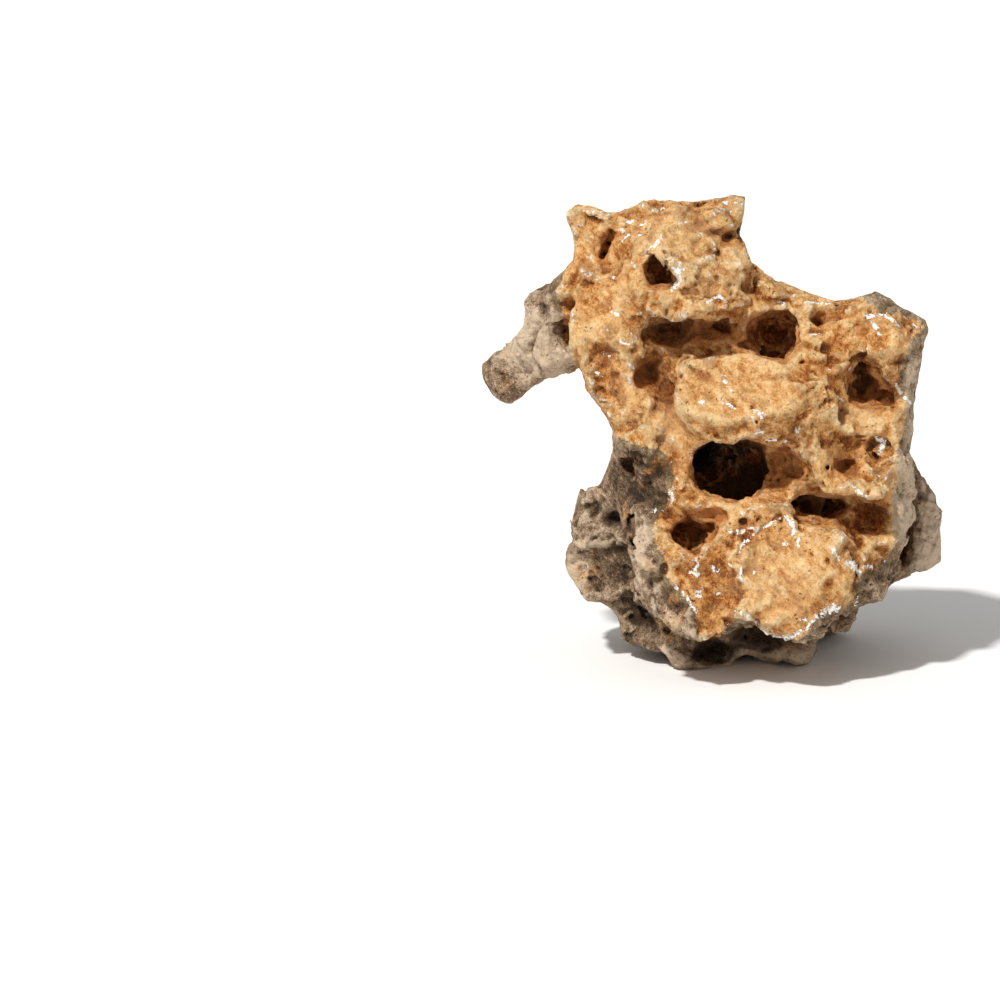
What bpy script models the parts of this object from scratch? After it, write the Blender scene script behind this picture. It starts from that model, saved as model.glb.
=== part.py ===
"""A piece of tufa rock: one porous, weathered stone that stands on small flat spots.

The stone is a union of rounded lobes, trimmed to its outline as seen from the front, hollowed by caves
and pits, roughened, and cut flat where it meets the ground. Front is -Y and the ground is z = 0.
"""

import math

import bmesh
import bpy
from mathutils import Matrix, Vector

MM = 0.001

# The stone is laid out as seen from EYE_DISTANCE away, looking down on it by VIEW_TILT, with the middle of
# the view at VIEW_MIDDLE. "Across" and "up" are measured in millimetres in the picture plane, which stands
# square to the line of sight through the layout's own origin. That origin is seen at GROUND_UP. The block
# that trims the outline starts TRIM_NEAR in front of the picture plane and ends TRIM_FAR behind it.
VIEW_TILT = math.radians(12)
EYE_DISTANCE = 3000 * MM
VIEW_MIDDLE = (-127.5, 103.2)
GROUND_UP = 6.2
TRIM_NEAR = 130 * MM
TRIM_FAR = 150 * MM

# Where the layout's origin goes, so that the middle of the stone's width and depth is over the world's.
PLACING = (-0.3 * MM, -13.3 * MM, 0)

ROUND_SUBDIVISIONS = 3
UNION_VOXEL = 3.0 * MM
TRIM_VOXEL = 3.5 * MM
SURFACE_VOXEL = 2.4 * MM
HOLLOW_VOXEL = 2.5 * MM
SOFTEN_FACTOR = 0.5
SOFTEN_PASSES = 10
FINISH_PASSES = 2
SIDE_LUMP_SIZE = 40 * MM
SIDE_LUMP_HEIGHT = 17 * MM
SIDE_LUMP_LEVEL = 0.58
KNOBBLE_SIZE = 30 * MM
KNOBBLE_HEIGHT = 9 * MM
RIPPLE_SIZE = 17 * MM
RIPPLE_HEIGHT = 7 * MM
HOLLOW_RIPPLE_SIZE = 14 * MM
HOLLOW_RIPPLE_HEIGHT = 6 * MM
FACET_SHARE = 0.075
GROUND_BOX = 800 * MM

STONE_COLOUR = (0.45, 0.27, 0.12, 1.0)
STONE_ROUGHNESS = 0.9

# The outline from the front, clockwise from the tip of the left horn: (across, up) in millimetres.
OUTLINE = {
    "left horn and crown": [
        (-87, 278), (-84, 281), (-73, 279), (-64, 275), (-57, 275), (-49, 278), (-40, 282), (-30, 283.5),
        (-26, 285), (-22, 282), (-12, 281.5), (6, 284), (11, 285.5), (19, 284.5),
    ],
    "saddle": [
        (18, 275), (17, 266), (19.5, 255), (23, 246), (31, 239), (42, 233), (54, 228), (66, 224),
        (73, 222), (83, 223),
    ],
    "right shoulder": [
        (98, 227.5), (105, 225), (111, 219), (119, 215.5), (127, 210.5), (129, 206), (126, 195), (124, 183),
        (122, 172), (120, 159), (120, 145),
    ],
    "right wing": [
        (117, 132), (123, 122), (129, 113), (135, 103.5), (138, 96), (136, 87), (137, 76), (136.5, 66.5),
        (129, 62), (120, 59), (112, 55.5), (106, 53), (102, 43),
    ],
    "right foot and knobs": [
        (94, 41.5), (87, 39.5), (87, 33), (82, 28), (75, 24.5), (61, 18.5), (63, 13), (58, 6), (53, 5),
        (46, 9), (38, 6), (31, 5.5), (22, 9.5), (16, 8),
    ],
    "front foot": [
        (13.5, 3), (4, 0.5), (-8, 0.5), (-19, 2), (-27, 6.5), (-31, 12), (-40, 14.5), (-50, 17.5),
        (-54, 21),
    ],
    "left wing": [
        (-55, 32), (-61, 39), (-67, 42.5), (-75, 42.5), (-80, 49), (-85.5, 58), (-88.5, 66), (-86.5, 74),
        (-83, 79), (-84, 91), (-81, 103), (-78, 110), (-67, 111),
    ],
    "bay under the arm": [
        (-63, 122), (-59, 133), (-59, 145), (-63, 153), (-70, 163), (-78, 173), (-81, 176.5), (-91, 177.5),
        (-100, 176), (-109, 171), (-115, 165),
    ],
    "arm": [
        (-121, 161), (-127, 163), (-133, 168.5), (-137, 176), (-138, 184), (-130, 192), (-124, 196.5),
        (-118, 201), (-113, 207), (-112, 214), (-113, 222), (-109, 227), (-102, 230.5),
    ],
    "left shoulder": [(-94, 236), (-88, 241), (-82.5, 248), (-82, 256), (-84, 264), (-87, 271)],
}

# Each lobe: (across, up, depth) of its middle, (half width, half depth, half height), and its roll in
# degrees, clockwise from the front. Lengths are in millimetres, and depth grows towards the back.
LOBES = {
    "head": ((-32, 247, 2), (55, 42, 37), 0),
    "head front": ((-20, 239, -26), (44, 24, 27), -8),
    "crown corner": ((4, 266, 4), (20, 24, 24), 0),
    "right horn": ((15, 279, 2), (9, 13, 13), 0),
    "left horn tip": ((-84, 276, 0), (8, 12, 10), 0),
    "left horn": ((-76, 266, 0), (14, 16, 20), -20),
    "left shoulder": ((-60, 216, -6), (37, 38, 38), -15),
    "arm root": ((-93, 206, 8), (29, 22, 26), -35),
    "arm knob": ((-103, 218, 12), (13, 16, 14), 0),
    "arm tip": ((-122, 181, 18), (20, 17, 21), 0),
    "neck": ((-8, 214, 4), (62, 46, 40), 0),
    "saddle": ((58, 203, 2), (46, 40, 27), 10),
    "front slab": ((24, 134, -14), (80, 44, 86), 0),
    "dome": ((18, 167, -42), (52, 31, 31), 0),
    "dome corner": ((52, 152, -40), (30, 26, 26), 25),
    "right shoulder": ((92, 194, -8), (36, 42, 34), 0),
    "shoulder knob": ((99, 217, 14), (15, 17, 12), 0),
    "right edge": ((95, 148, -10), (28, 42, 50), 0),
    "left ridge": ((-45, 170, -18), (25, 34, 46), -35),
    "left ridge foot": ((-36, 138, -26), (20, 26, 30), 0),
    "knobs by the cave": ((58, 128, -48), (17, 14, 12), 0),
    "ledge over the hollow": ((84, 113, -46), (24, 18, 10), 10),
    "ridge under the cave": ((22, 90, -54), (42, 20, 12), 8),
    "lip": ((26, 60, -50), (62, 32, 36), 0),
    "lip brow": ((34, 76, -62), (50, 20, 16), -8),
    "lip left corner": ((-26, 62, -42), (22, 26, 36), -20),
    "lip ridge": ((20, 56, -66), (12, 18, 34), 0),
    "lip right corner": ((72, 68, -38), (28, 30, 36), 20),
    "lip peak": ((47, 88, -66), (11, 13, 13), 0),
    "lip left tooth": ((-8, 35, -60), (19, 18, 16), 0),
    "lip right tooth": ((46, 34, -62), (24, 18, 15), 0),
    "right front": ((88, 96, -14), (31, 42, 50), 0),
    "core": ((18, 124, 42), (86, 58, 88), 0),
    "rear crown": ((-20, 228, 34), (44, 34, 44), 0),
    "rear shoulder": ((62, 186, 42), (48, 36, 42), 15),
    "rear bulge": ((-30, 122, 70), (40, 30, 46), 0),
    "rear ridge": ((50, 100, 82), (40, 26, 40), 20),
    "left flank": ((-44, 108, 6), (26, 40, 44), -10),
    "left wing": ((-54, 82, 26), (34, 42, 40), 0),
    "left wing knob": ((-73, 68, 22), (21, 28, 29), 0),
    "left wing top": ((-70, 96, 24), (17, 24, 18), 0),
    "right wing": ((114, 88, 34), (23, 27, 40), 0),
    "right wing foot": ((122, 72, 30), (17, 20, 16), 0),
    "right chunk": ((92, 52, 2), (15, 20, 16), 0),
    "belly": ((14, 56, 10), (66, 50, 40), 0),
    "front foot": ((-10, 24, 2), (34, 26, 24), 0),
    "front foot toe": ((-30, 24, 8), (20, 22, 14), 0),
    "lip foot": ((42, 20, 10), (24, 26, 18), 0),
    "left foot": ((-44, 32, 20), (15, 20, 18), 0),
    "rear base": ((18, 62, 50), (68, 44, 46), 0),
    "rear left foot": ((-20, 32, 66), (26, 22, 20), 0),
    "rear right foot": ((62, 34, 64), (26, 24, 22), 0),
}

# Each hollow is a chain of overlapping rounds, written as the lobes are.
HOLLOWS = {
    "deep cave": [
        ((12, 123, -64), (25, 22, 19), 0),
        ((15, 122, -42), (22, 22, 17), 0),
        ((9, 124, -20), (20, 20, 17), 0),
        ((-2, 128, 5), (18, 20, 16), 0),
        ((-15, 134, 30), (17, 20, 15), 0),
        ((-30, 140, 56), (16, 20, 15), 0),
        ((-46, 146, 84), (17, 22, 16), 0),
    ],
    "cave side trough": [((42, 119, -64), (20, 20, 14), 10)],
    "long groove": [
        ((-25, 198, -48), (18, 26, 13), -10),
        ((-6, 197, -54), (22, 28, 12), 0),
        ((16, 196, -54), (24, 26, 12), 0),
    ],
    "groove cave": [((36, 198, -46), (17, 26, 15), -15), ((38, 200, -16), (15, 24, 13), 0)],
    "ridge cave": [((-34, 178, -48), (13, 28, 14), 0), ((-25, 163, -52), (12, 24, 15), 10)],
    "ridge channel": [((-27, 143, -62), (13, 20, 20), -20)],
    "right cave": [((91, 174, -48), (13, 26, 15), 0), ((100, 164, -44), (12, 24, 12), 0)],
    "head pit": [((-31, 238, -44), (10, 24, 14), -25)],
    "head slot": [((-65, 254, -28), (6, 18, 12), 20)],
    "crown corner hollow": [((12, 246, -30), (12, 14, 20), 0)],
    "lower left cave": [((-11, 85, -74), (17, 28, 11), -15), ((-14, 82, -48), (13, 22, 10), 0)],
    "lower right cave": [((67, 99, -66), (22, 28, 13), 10), ((91, 92, -56), (21, 24, 14), 25)],
    "right pits": [((80, 122, -56), (9, 14, 8), 0), ((99, 134, -46), (9, 14, 8), 0)],
    "shoulder pit": [((66, 213, -36), (9, 18, 7), 0)],
    "arm pits": [((-89, 204, -16), (7, 14, 9), 0), ((-86, 220, -26), (8, 14, 6), 0)],
    "right wing slot": [((113, 78, 6), (9, 30, 22), 0)],
    "lip scoop": [((54, 48, -93), (30, 22, 26), 0)],
    "lip notch": [((21, 24, -72), (8, 22, 8), 0), ((76, 34, -60), (12, 24, 12), 0)],
    "left wing pits": [((-62, 90, -16), (9, 16, 8), 0), ((-58, 60, -14), (12, 14, 9), 0)],
    "flank pit": [((-52, 124, -30), (9, 14, 8), 0)],
    "under the lip": [((40, 17, -42), (44, 34, 14), 0), ((-4, 18, -46), (38, 26, 12), 0)],
    "left foot gap": [((-34, 38, -36), (13, 16, 8), 0)],
    "back upper cave": [
        ((34, 190, 86), (24, 26, 18), 20),
        ((52, 178, 76), (18, 22, 14), 0),
        ((30, 186, 62), (16, 22, 14), 0),
    ],
    "back middle pit": [((82, 148, 86), (18, 30, 13), 0), ((68, 140, 100), (14, 18, 11), 0)],
    "back lower cave": [
        ((12, 96, 108), (22, 28, 16), -15),
        ((34, 106, 106), (18, 22, 14), 0),
        ((2, 84, 84), (15, 22, 12), 0),
    ],
    "back knob gaps": [((64, 70, 104), (20, 18, 10), -20), ((-28, 168, 98), (18, 18, 12), 25)],
    "back crown pit": [((-24, 248, 72), (17, 18, 12), 15)],
    "back left pit": [((-62, 108, 80), (16, 20, 12), 0)],
    "back foot gap": [((20, 34, 104), (24, 34, 22), 0)],
    "top pit": [((-20, 286, 18), (13, 14, 10), 0)],
    "saddle scoop": [((52, 238, 34), (22, 22, 18), 0)],
    "left side pit": [((-102, 132, 46), (20, 18, 16), 0)],
    "right side cave": [((134, 156, 20), (22, 18, 14), 0)],
    "right low pit": [((118, 42, 60), (18, 16, 14), 0)],
}


def clear_scene():
    for old in list(bpy.data.objects):
        bpy.data.objects.remove(old)


def collection(name):
    made = bpy.data.collections.new(name)
    bpy.context.scene.collection.children.link(made)
    return made


def on_picture(across, up):
    """The point of the picture plane at (across, up)."""
    rise = Vector((0, math.sin(VIEW_TILT), math.cos(VIEW_TILT)))
    return (Vector((across, 0, 0)) + rise * (up - GROUND_UP)) * MM


def eye_point():
    aim = Vector((0, math.cos(VIEW_TILT), -math.sin(VIEW_TILT)))
    return on_picture(*VIEW_MIDDLE) - aim * EYE_DISTANCE


def seen_at(across, up, depth):
    """The point at a depth on the line of sight through (across, up)."""
    eye = eye_point()
    point = on_picture(across, up)
    return eye.lerp(point, (depth * MM - eye.y) / (point.y - eye.y))


def round_matrix(middle, halves, roll):
    """Places a unit sphere as an ellipsoid with those half sizes, rolled clockwise as seen from the front."""
    turned = Matrix.Translation(seen_at(*middle)) @ Matrix.Rotation(math.radians(roll), 4, "Y")
    return turned @ Matrix.Diagonal((*(Vector(halves) * MM), 1))


def rounds_object(name, rounds, group):
    """One object that holds an ellipsoid for each entry of rounds, each a closed mesh."""
    shape = bmesh.new()
    for middle, halves, roll in rounds:
        place = round_matrix(middle, halves, roll)
        bmesh.ops.create_icosphere(shape, subdivisions=ROUND_SUBDIVISIONS, radius=1, matrix=place)
    mesh = bpy.data.meshes.new(name)
    shape.to_mesh(mesh)
    shape.free()
    made = bpy.data.objects.new(name, mesh)
    group.objects.link(made)
    return made


def outline_trimmer(group):
    """The outline swept along the lines of sight: a block that narrows towards the eye, with uneven sides."""
    eye = eye_point()
    points = [on_picture(*point) for stretch in OUTLINE.values() for point in stretch]
    near = 1 - TRIM_NEAR / EYE_DISTANCE
    far = 1 + TRIM_FAR / EYE_DISTANCE
    shape = bmesh.new()
    face = shape.faces.new([shape.verts.new(eye.lerp(point, near)) for point in points])
    swept = bmesh.ops.extrude_face_region(shape, geom=[face])["geom"]
    for vert in [item for item in swept if isinstance(item, bmesh.types.BMVert)]:
        vert.co = eye + (vert.co - eye) * far / near
    bmesh.ops.recalc_face_normals(shape, faces=shape.faces)
    mesh = bpy.data.meshes.new("outline_trimmer")
    shape.to_mesh(mesh)
    shape.free()
    made = bpy.data.objects.new("outline_trimmer", mesh)
    group.objects.link(made)
    voxel_remesh(made, TRIM_VOXEL)
    roughen(made, "side unevenness", "CLOUDS", SIDE_LUMP_SIZE, SIDE_LUMP_HEIGHT, SIDE_LUMP_LEVEL)
    voxel_remesh(made, TRIM_VOXEL)
    return made


def ground_box(group):
    """Everything above the ground, as a box whose underside is z = 0."""
    bpy.ops.mesh.primitive_cube_add(size=GROUND_BOX, location=(0, 0, GROUND_BOX / 2))
    made = bpy.context.object
    made.name = "above_ground"
    for holder in list(made.users_collection):
        holder.objects.unlink(made)
    group.objects.link(made)
    return made


def voxel_remesh(target, voxel):
    remesh = target.modifiers.new("voxel remesh", "REMESH")
    remesh.mode = "VOXEL"
    remesh.voxel_size = voxel


def soften(target, passes):
    smooth = target.modifiers.new("soften", "SMOOTH")
    smooth.factor = SOFTEN_FACTOR
    smooth.iterations = passes


def roughen(target, name, kind, size, height, level=0.5):
    """Pushes the surface in and out in lumps of about size: inwards by the level's share of height."""
    texture = bpy.data.textures.new(name, kind)
    texture.noise_scale = size
    push = target.modifiers.new(name, "DISPLACE")
    push.texture = texture
    push.texture_coords = "LOCAL"
    push.mid_level = level
    push.strength = height


def boolean(target, operation, other):
    cut = target.modifiers.new(f"{operation.lower()} {other.name}", "BOOLEAN")
    cut.operation = operation
    cut.solver = "EXACT"
    cut.object = other


def as_cutter(helper):
    helper.hide_render = True
    helper.display_type = "WIRE"


def stone_material():
    material = bpy.data.materials.new("tufa")
    material.use_nodes = True
    shader = material.node_tree.nodes["Principled BSDF"]
    shader.inputs["Base Color"].default_value = STONE_COLOUR
    shader.inputs["Roughness"].default_value = STONE_ROUGHNESS
    shader.inputs["Metallic"].default_value = 0.0
    return material


def hollows_cutter(group):
    rounds = [entry for chain in HOLLOWS.values() for entry in chain]
    made = rounds_object("hollows", rounds, group)
    voxel_remesh(made, HOLLOW_VOXEL)
    soften(made, FINISH_PASSES)
    roughen(made, "hollow ripple", "CLOUDS", HOLLOW_RIPPLE_SIZE, HOLLOW_RIPPLE_HEIGHT)
    return made


def tufa_rock(group, cutters):
    rock = rounds_object("tufa_rock", list(LOBES.values()), group)
    trimmer = outline_trimmer(cutters)
    hollows = hollows_cutter(cutters)
    ground = ground_box(cutters)
    for helper in (trimmer, hollows, ground):
        as_cutter(helper)
    voxel_remesh(rock, UNION_VOXEL)
    soften(rock, SOFTEN_PASSES)
    roughen(rock, "knobble", "VORONOI", KNOBBLE_SIZE, -KNOBBLE_HEIGHT)
    roughen(rock, "ripple", "CLOUDS", RIPPLE_SIZE, RIPPLE_HEIGHT)
    boolean(rock, "INTERSECT", trimmer)
    boolean(rock, "DIFFERENCE", hollows)
    voxel_remesh(rock, SURFACE_VOXEL)
    soften(rock, FINISH_PASSES)
    facets = rock.modifiers.new("facets", "DECIMATE")
    facets.ratio = FACET_SHARE
    boolean(rock, "INTERSECT", ground)
    rock.data.materials.append(stone_material())
    rock.data.shade_smooth()
    return rock


def main():
    clear_scene()
    stone = collection("tufa rock")
    cutters = collection("cutters")
    placing = bpy.data.objects.new("placing", None)
    placing.location = PLACING
    stone.objects.link(placing)
    for item in (tufa_rock(stone, cutters), *cutters.objects):
        item.parent = placing


main()
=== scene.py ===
"""The looks of a piece of tufa rock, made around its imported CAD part.

The CAD stone gives the shape at the scale of its caves and lobes. This script turns it into distances
on a grid, adds the smaller forms that show from the front, wears facets, scallops, grains and pits into
them, and takes the stone's surface from where the distance is zero. Lengths are in millimetres until a
surface goes into a mesh, which is in metres. Front is -Y and the ground is z = 0.
"""

import functools
import math

import bpy
import numpy as np
import openvdb
from bpy.props import (
    FloatProperty,
    FloatVectorProperty,
    IntProperty,
    PointerProperty,
)
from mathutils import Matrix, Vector


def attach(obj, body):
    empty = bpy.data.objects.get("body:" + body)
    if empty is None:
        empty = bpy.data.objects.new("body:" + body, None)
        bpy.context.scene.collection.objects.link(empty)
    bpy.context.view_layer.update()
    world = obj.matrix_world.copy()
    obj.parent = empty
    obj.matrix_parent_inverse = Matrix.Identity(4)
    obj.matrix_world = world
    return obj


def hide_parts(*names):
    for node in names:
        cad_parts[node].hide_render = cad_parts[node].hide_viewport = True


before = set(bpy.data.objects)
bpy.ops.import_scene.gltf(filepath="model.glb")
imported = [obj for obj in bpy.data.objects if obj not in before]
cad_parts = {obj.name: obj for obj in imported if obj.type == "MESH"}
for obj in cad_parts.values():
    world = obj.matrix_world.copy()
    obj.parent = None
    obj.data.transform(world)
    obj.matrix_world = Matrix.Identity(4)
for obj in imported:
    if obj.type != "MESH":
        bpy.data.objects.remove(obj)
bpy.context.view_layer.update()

bl_info = {
    "name": "Tufa rock",
    "version": (1, 0, 0),
    "blender": (4, 5, 0),
    "location": "View3D > Sidebar > Tufa",
    "description": "Makes a weathered piece of tufa rock and the stage it stands on",
    "category": "Object",
}

MM = 0.001

# The stone is laid out as seen from EYE_DISTANCE away, looking down on it by VIEW_TILT, with VIEW_WIDTH
# in view and the middle of the view at VIEW_MIDDLE. Across and up are measured in millimetres in the
# picture plane, which stands square to the line of sight through the layout's own origin. That origin
# is seen at GROUND_UP, and PLACING is where it stands in the frame. Depth is the layout's Y.
VIEW_TILT = math.radians(12)
VIEW_WIDTH = 600.0
EYE_DISTANCE = 3000.0
VIEW_MIDDLE = (-127.5, 103.2)
GROUND_UP = 6.2
PLACING = np.array((-0.3, -13.3, 0.0))
RISE = np.array((0.0, math.sin(VIEW_TILT), math.cos(VIEW_TILT)))
AIM = np.array((0.0, math.cos(VIEW_TILT), -math.sin(VIEW_TILT)))
EYE = (
    PLACING
    + np.array((VIEW_MIDDLE[0], 0.0, 0.0))
    + RISE * (VIEW_MIDDLE[1] - GROUND_UP)
    - AIM * EYE_DISTANCE
)

# Maps places to where streak noise is read: drawn out along the slant from upper left to lower right.
STREAK_STRETCH = np.array(((0.62, 0.0, 0.38), (0.0, 0.35, 0.0), (0.38, 0.0, 0.62)))

# How far behind the nearest surface a place stops to count as the front: where that starts, and where
# it ends.
WORN_FRONT = (10, 22)
SMOOTHED_FRONT = (8, 16)
COLOURED_FRONT = (12, 26)

# How places are bent before a noise is read there: the size of the bends, how far they reach, and what
# they add to the seed.
LONG_BEND = (22, 5, 0)
SHORT_BEND = (7, 1.4, 10)
CRACK_BEND = (8, 1.2, 51)
PORE_BEND = (5, 1.2, 85)

# The wear's noises whose size isn't a setting: how far apart their lumps are, and what they add to the
# seed.
PATCHINESS = (46, 20)
CRUMBLING = (24, 70)
STREAKS = (2.6, 75)
GRIT = (2.8, 80)
PORES = (3.8, 90)
PIT_GROUPS = (26, 101)
EDGE_WANDER = (12, 200)
SKIN_WANDER = (40, 210)
SIDE_WANDER = (6, 300)
TRIM_WANDER = (4, 310)

# What the wear's other noises add to the seed. Each size of facet adds one more than the one before.
LUMP_SEED = 30
RIDGE_SEED = 40
SCALLOP_SEED = 50
FACET_SEED = 52
GRAIN_SEED = 60
PIT_SEED = 100

# The sizes of the facets, as shares of the largest.
FACET_SHARES = (1.0, 0.52, 0.27)

# How the walls of rounds are bent: the size of the bends, how far they reach where unevenness is 1, and
# their seeds.
WALL_BENDS = ((17, 1.7, 901), (7, 1.1, 905), (3.6, 0.4, 909))

# How far from the surface, in millimetres, the steps may change the field.
SHAPE_REACH = 8
WEAR_REACH = 6
TRIM_REACH = 3

# How far inside the outline the sides still grow, in millimetres: fully at the first, not at all at the
# second.
SIDE_BAND = (4, 14)

# The heights between which the wear goes from none to full, so that the stone keeps its flat spots.
GROUND_BAND = (0.5, 5.0)

# The share of each kind of wear that is left where the stone is calmest, or where that kind is
# scarcest. For "hollows" it is the share of all wear on the walls of hollows.
LEAST = {
    "hollows": 0.55,
    "lumps": 0.35,
    "ridges": 0.3,
    "scallops": 0.4,
    "facets": 0.22,
    "grains": 0.1,
    "grit": 0.4,
}

# About the means of the ridges, of the distances to scallops and of those to grains, so that they add
# as much stone as they take.
RIDGE_MEAN = 0.45
SCALLOP_MEAN = 0.45
GRAIN_MEAN = 0.5

# The random pits: the least radius and what chance adds to it at most, the least and the most stretch,
# and the height below which there are none.
PIT_RADIUS = 1.2
PIT_SPREAD = 1.8
PIT_STRETCH = (0.75, 1.4)
PIT_FLOOR = 4

# Where the colours fade, in millimetres: how deep the ochre goes on behind the front, how far behind
# the face the wall of a hollow darkens with painted shade, and how high the painted shade under the
# stone reaches, on what faces down and on any surface.
OCHRE_DEPTHS = (4, 44)
SUNK_DEPTHS = (34, 58)
UNDER_HEIGHTS = (30, 60)
LOW_SHADE_HEIGHTS = (2, 20)

# Where the ochre face of the stone ends, as seen from the front: (across, up). The rest is grey-brown
# rind.
OCHRE_EDGE = [
    (-91, 283), (-87, 246), (-90, 226), (-88, 206), (-84, 190), (-80, 171), (-65, 151), (-56, 141),
    (-40, 137), (-29, 133), (-26, 128), (-22.5, 118), (-23, 110), (-26.5, 103), (-31, 95), (-33.5, 86),
    (-32, 78), (-27.5, 70), (-27, 58), (-24, 51), (-18, 46), (-12, 41), (-9.5, 33), (-8.5, 24), (-5, 20),
    (4, 20), (9, 28), (16, 33), (24, 31), (31, 27), (38, 22), (50, 21), (57, 27), (66, 34), (78, 38),
    (87, 42), (84, 52), (92, 62), (103, 66), (109, 79), (107, 97), (109, 116), (110, 130), (113, 145),
    (114, 155), (116, 162), (112, 171), (113, 184), (118, 197), (127, 208), (112, 214), (94, 218),
    (88, 224), (60, 240), (60, 310), (-91, 310),
]

# The outline from the front, clockwise from the tip of the left horn: (across, up).
OUTLINE = [
    (-87, 278), (-84, 281), (-73, 279), (-64, 275), (-57, 275), (-49, 278), (-40, 282), (-30, 283.5),
    (-26, 285), (-22, 282), (-12, 281.5), (6, 284), (11, 285.5), (19, 284.5), (18, 275), (17, 266),
    (19.5, 255), (23, 246), (31, 239), (42, 233), (54, 228), (66, 224), (73, 222), (83, 223),
    (98, 227.5), (105, 225), (111, 219), (119, 215.5), (127, 210.5), (129, 206), (126, 195), (124, 183),
    (122, 172), (120, 159), (120, 145), (117, 132), (123, 122), (129, 113), (135, 103.5), (138, 96),
    (136, 87), (137, 76), (136.5, 66.5), (129, 62), (120, 59), (112, 55.5), (106, 53), (102, 43),
    (94, 41.5), (87, 39.5), (87, 33), (82, 28), (75, 24.5), (61, 18.5), (63, 13), (58, 6), (53, 5),
    (46, 9), (38, 6), (31, 5.5), (22, 9.5), (16, 8), (13.5, 3), (4, -1), (-8, -1), (-19, 0), (-27, 6.5),
    (-31, 12), (-40, 14.5), (-50, 17.5), (-54, 21), (-55, 32), (-61, 39), (-67, 42.5), (-75, 42.5),
    (-80, 49), (-85.5, 58), (-88.5, 66), (-86.5, 74), (-83, 79), (-84, 91), (-81, 103), (-78, 110),
    (-67, 111), (-63, 122), (-59, 133), (-59, 145), (-63, 153), (-70, 163), (-78, 173), (-81, 176.5),
    (-91, 177.5), (-100, 176), (-109, 171), (-115, 165), (-121, 161), (-127, 163), (-133, 168.5),
    (-137, 176), (-138, 184), (-130, 192), (-124, 196.5), (-118, 201), (-113, 207), (-112, 214),
    (-113, 222), (-109, 227), (-102, 230.5), (-94, 236), (-88, 241), (-82.5, 248), (-82, 256),
    (-84, 264), (-87, 271),
]

# Forms that show from the front, as chains of rounds: ((across, up, depth), (half width, half depth,
# half height), roll), with the roll in degrees, clockwise from the front. Swellings come before
# hollows.
SEEN_SWELLINGS = {
    "brow over the groove": [((-18, 221, -36), (28, 20, 9), 0), ((4, 222, -34), (20, 19, 8), 0)],
    "below the crown corner": [((13, 243, -20), (12, 20, 15), 0), ((2, 236, -32), (14, 14, 14), 0)],
    "crown": [((3, 270, -10), (11, 14, 7.5), 0), ((-25, 248, -36), (7, 10, 9), -36)],
    "ridge channel": [((-22, 147, -37), (13, 13, 16), 12), ((-36, 153, -38), (10, 13, 11), 0)],
    "dome": [
        ((16, 166, -56), (38, 20, 24), -6), ((40, 160, -48), (30, 18, 21), 10),
        ((17, 148, -51), (26, 17, 9), 0), ((44, 146, -50), (12, 14, 9), -20),
    ],
    "lip teeth": [((-4, 30, -68), (13, 12, 12), 0), ((46, 30, -70), (18, 13, 12), 0)],
    "lip plane": [((58, 56, -64), (27, 14, 27), 0)],
    "lip peak": [((47, 88, -70), (5, 9, 9), 0)],
    "right of the dome": [((73, 152, -47), (12, 11, 13), 0), ((101, 135, -38), (6, 8, 6.5), 0)],
    "ledge over the bowl": [((86, 111, -50), (17, 16, 5.5), 12)],
    "left arete": [
        ((-45, 78, -48), (7, 10, 4.5), -40), ((-41, 67, -53), (3.2, 12, 16), -35),
        ((-33.5, 48, -58), (3, 12, 11), 0), ((-21, 30, -60), (3, 10, 16), -50),
        ((-42, 93, -38), (8, 10, 8), 0),
    ],
    "base knobs": [((47, 13, 2), (13, 26, 9), 0), ((79, 31, -18), (7, 26, 7), 0)],
    "chunk": [((94, 51, -38), (9, 16, 9.5), 0)],
}
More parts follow.
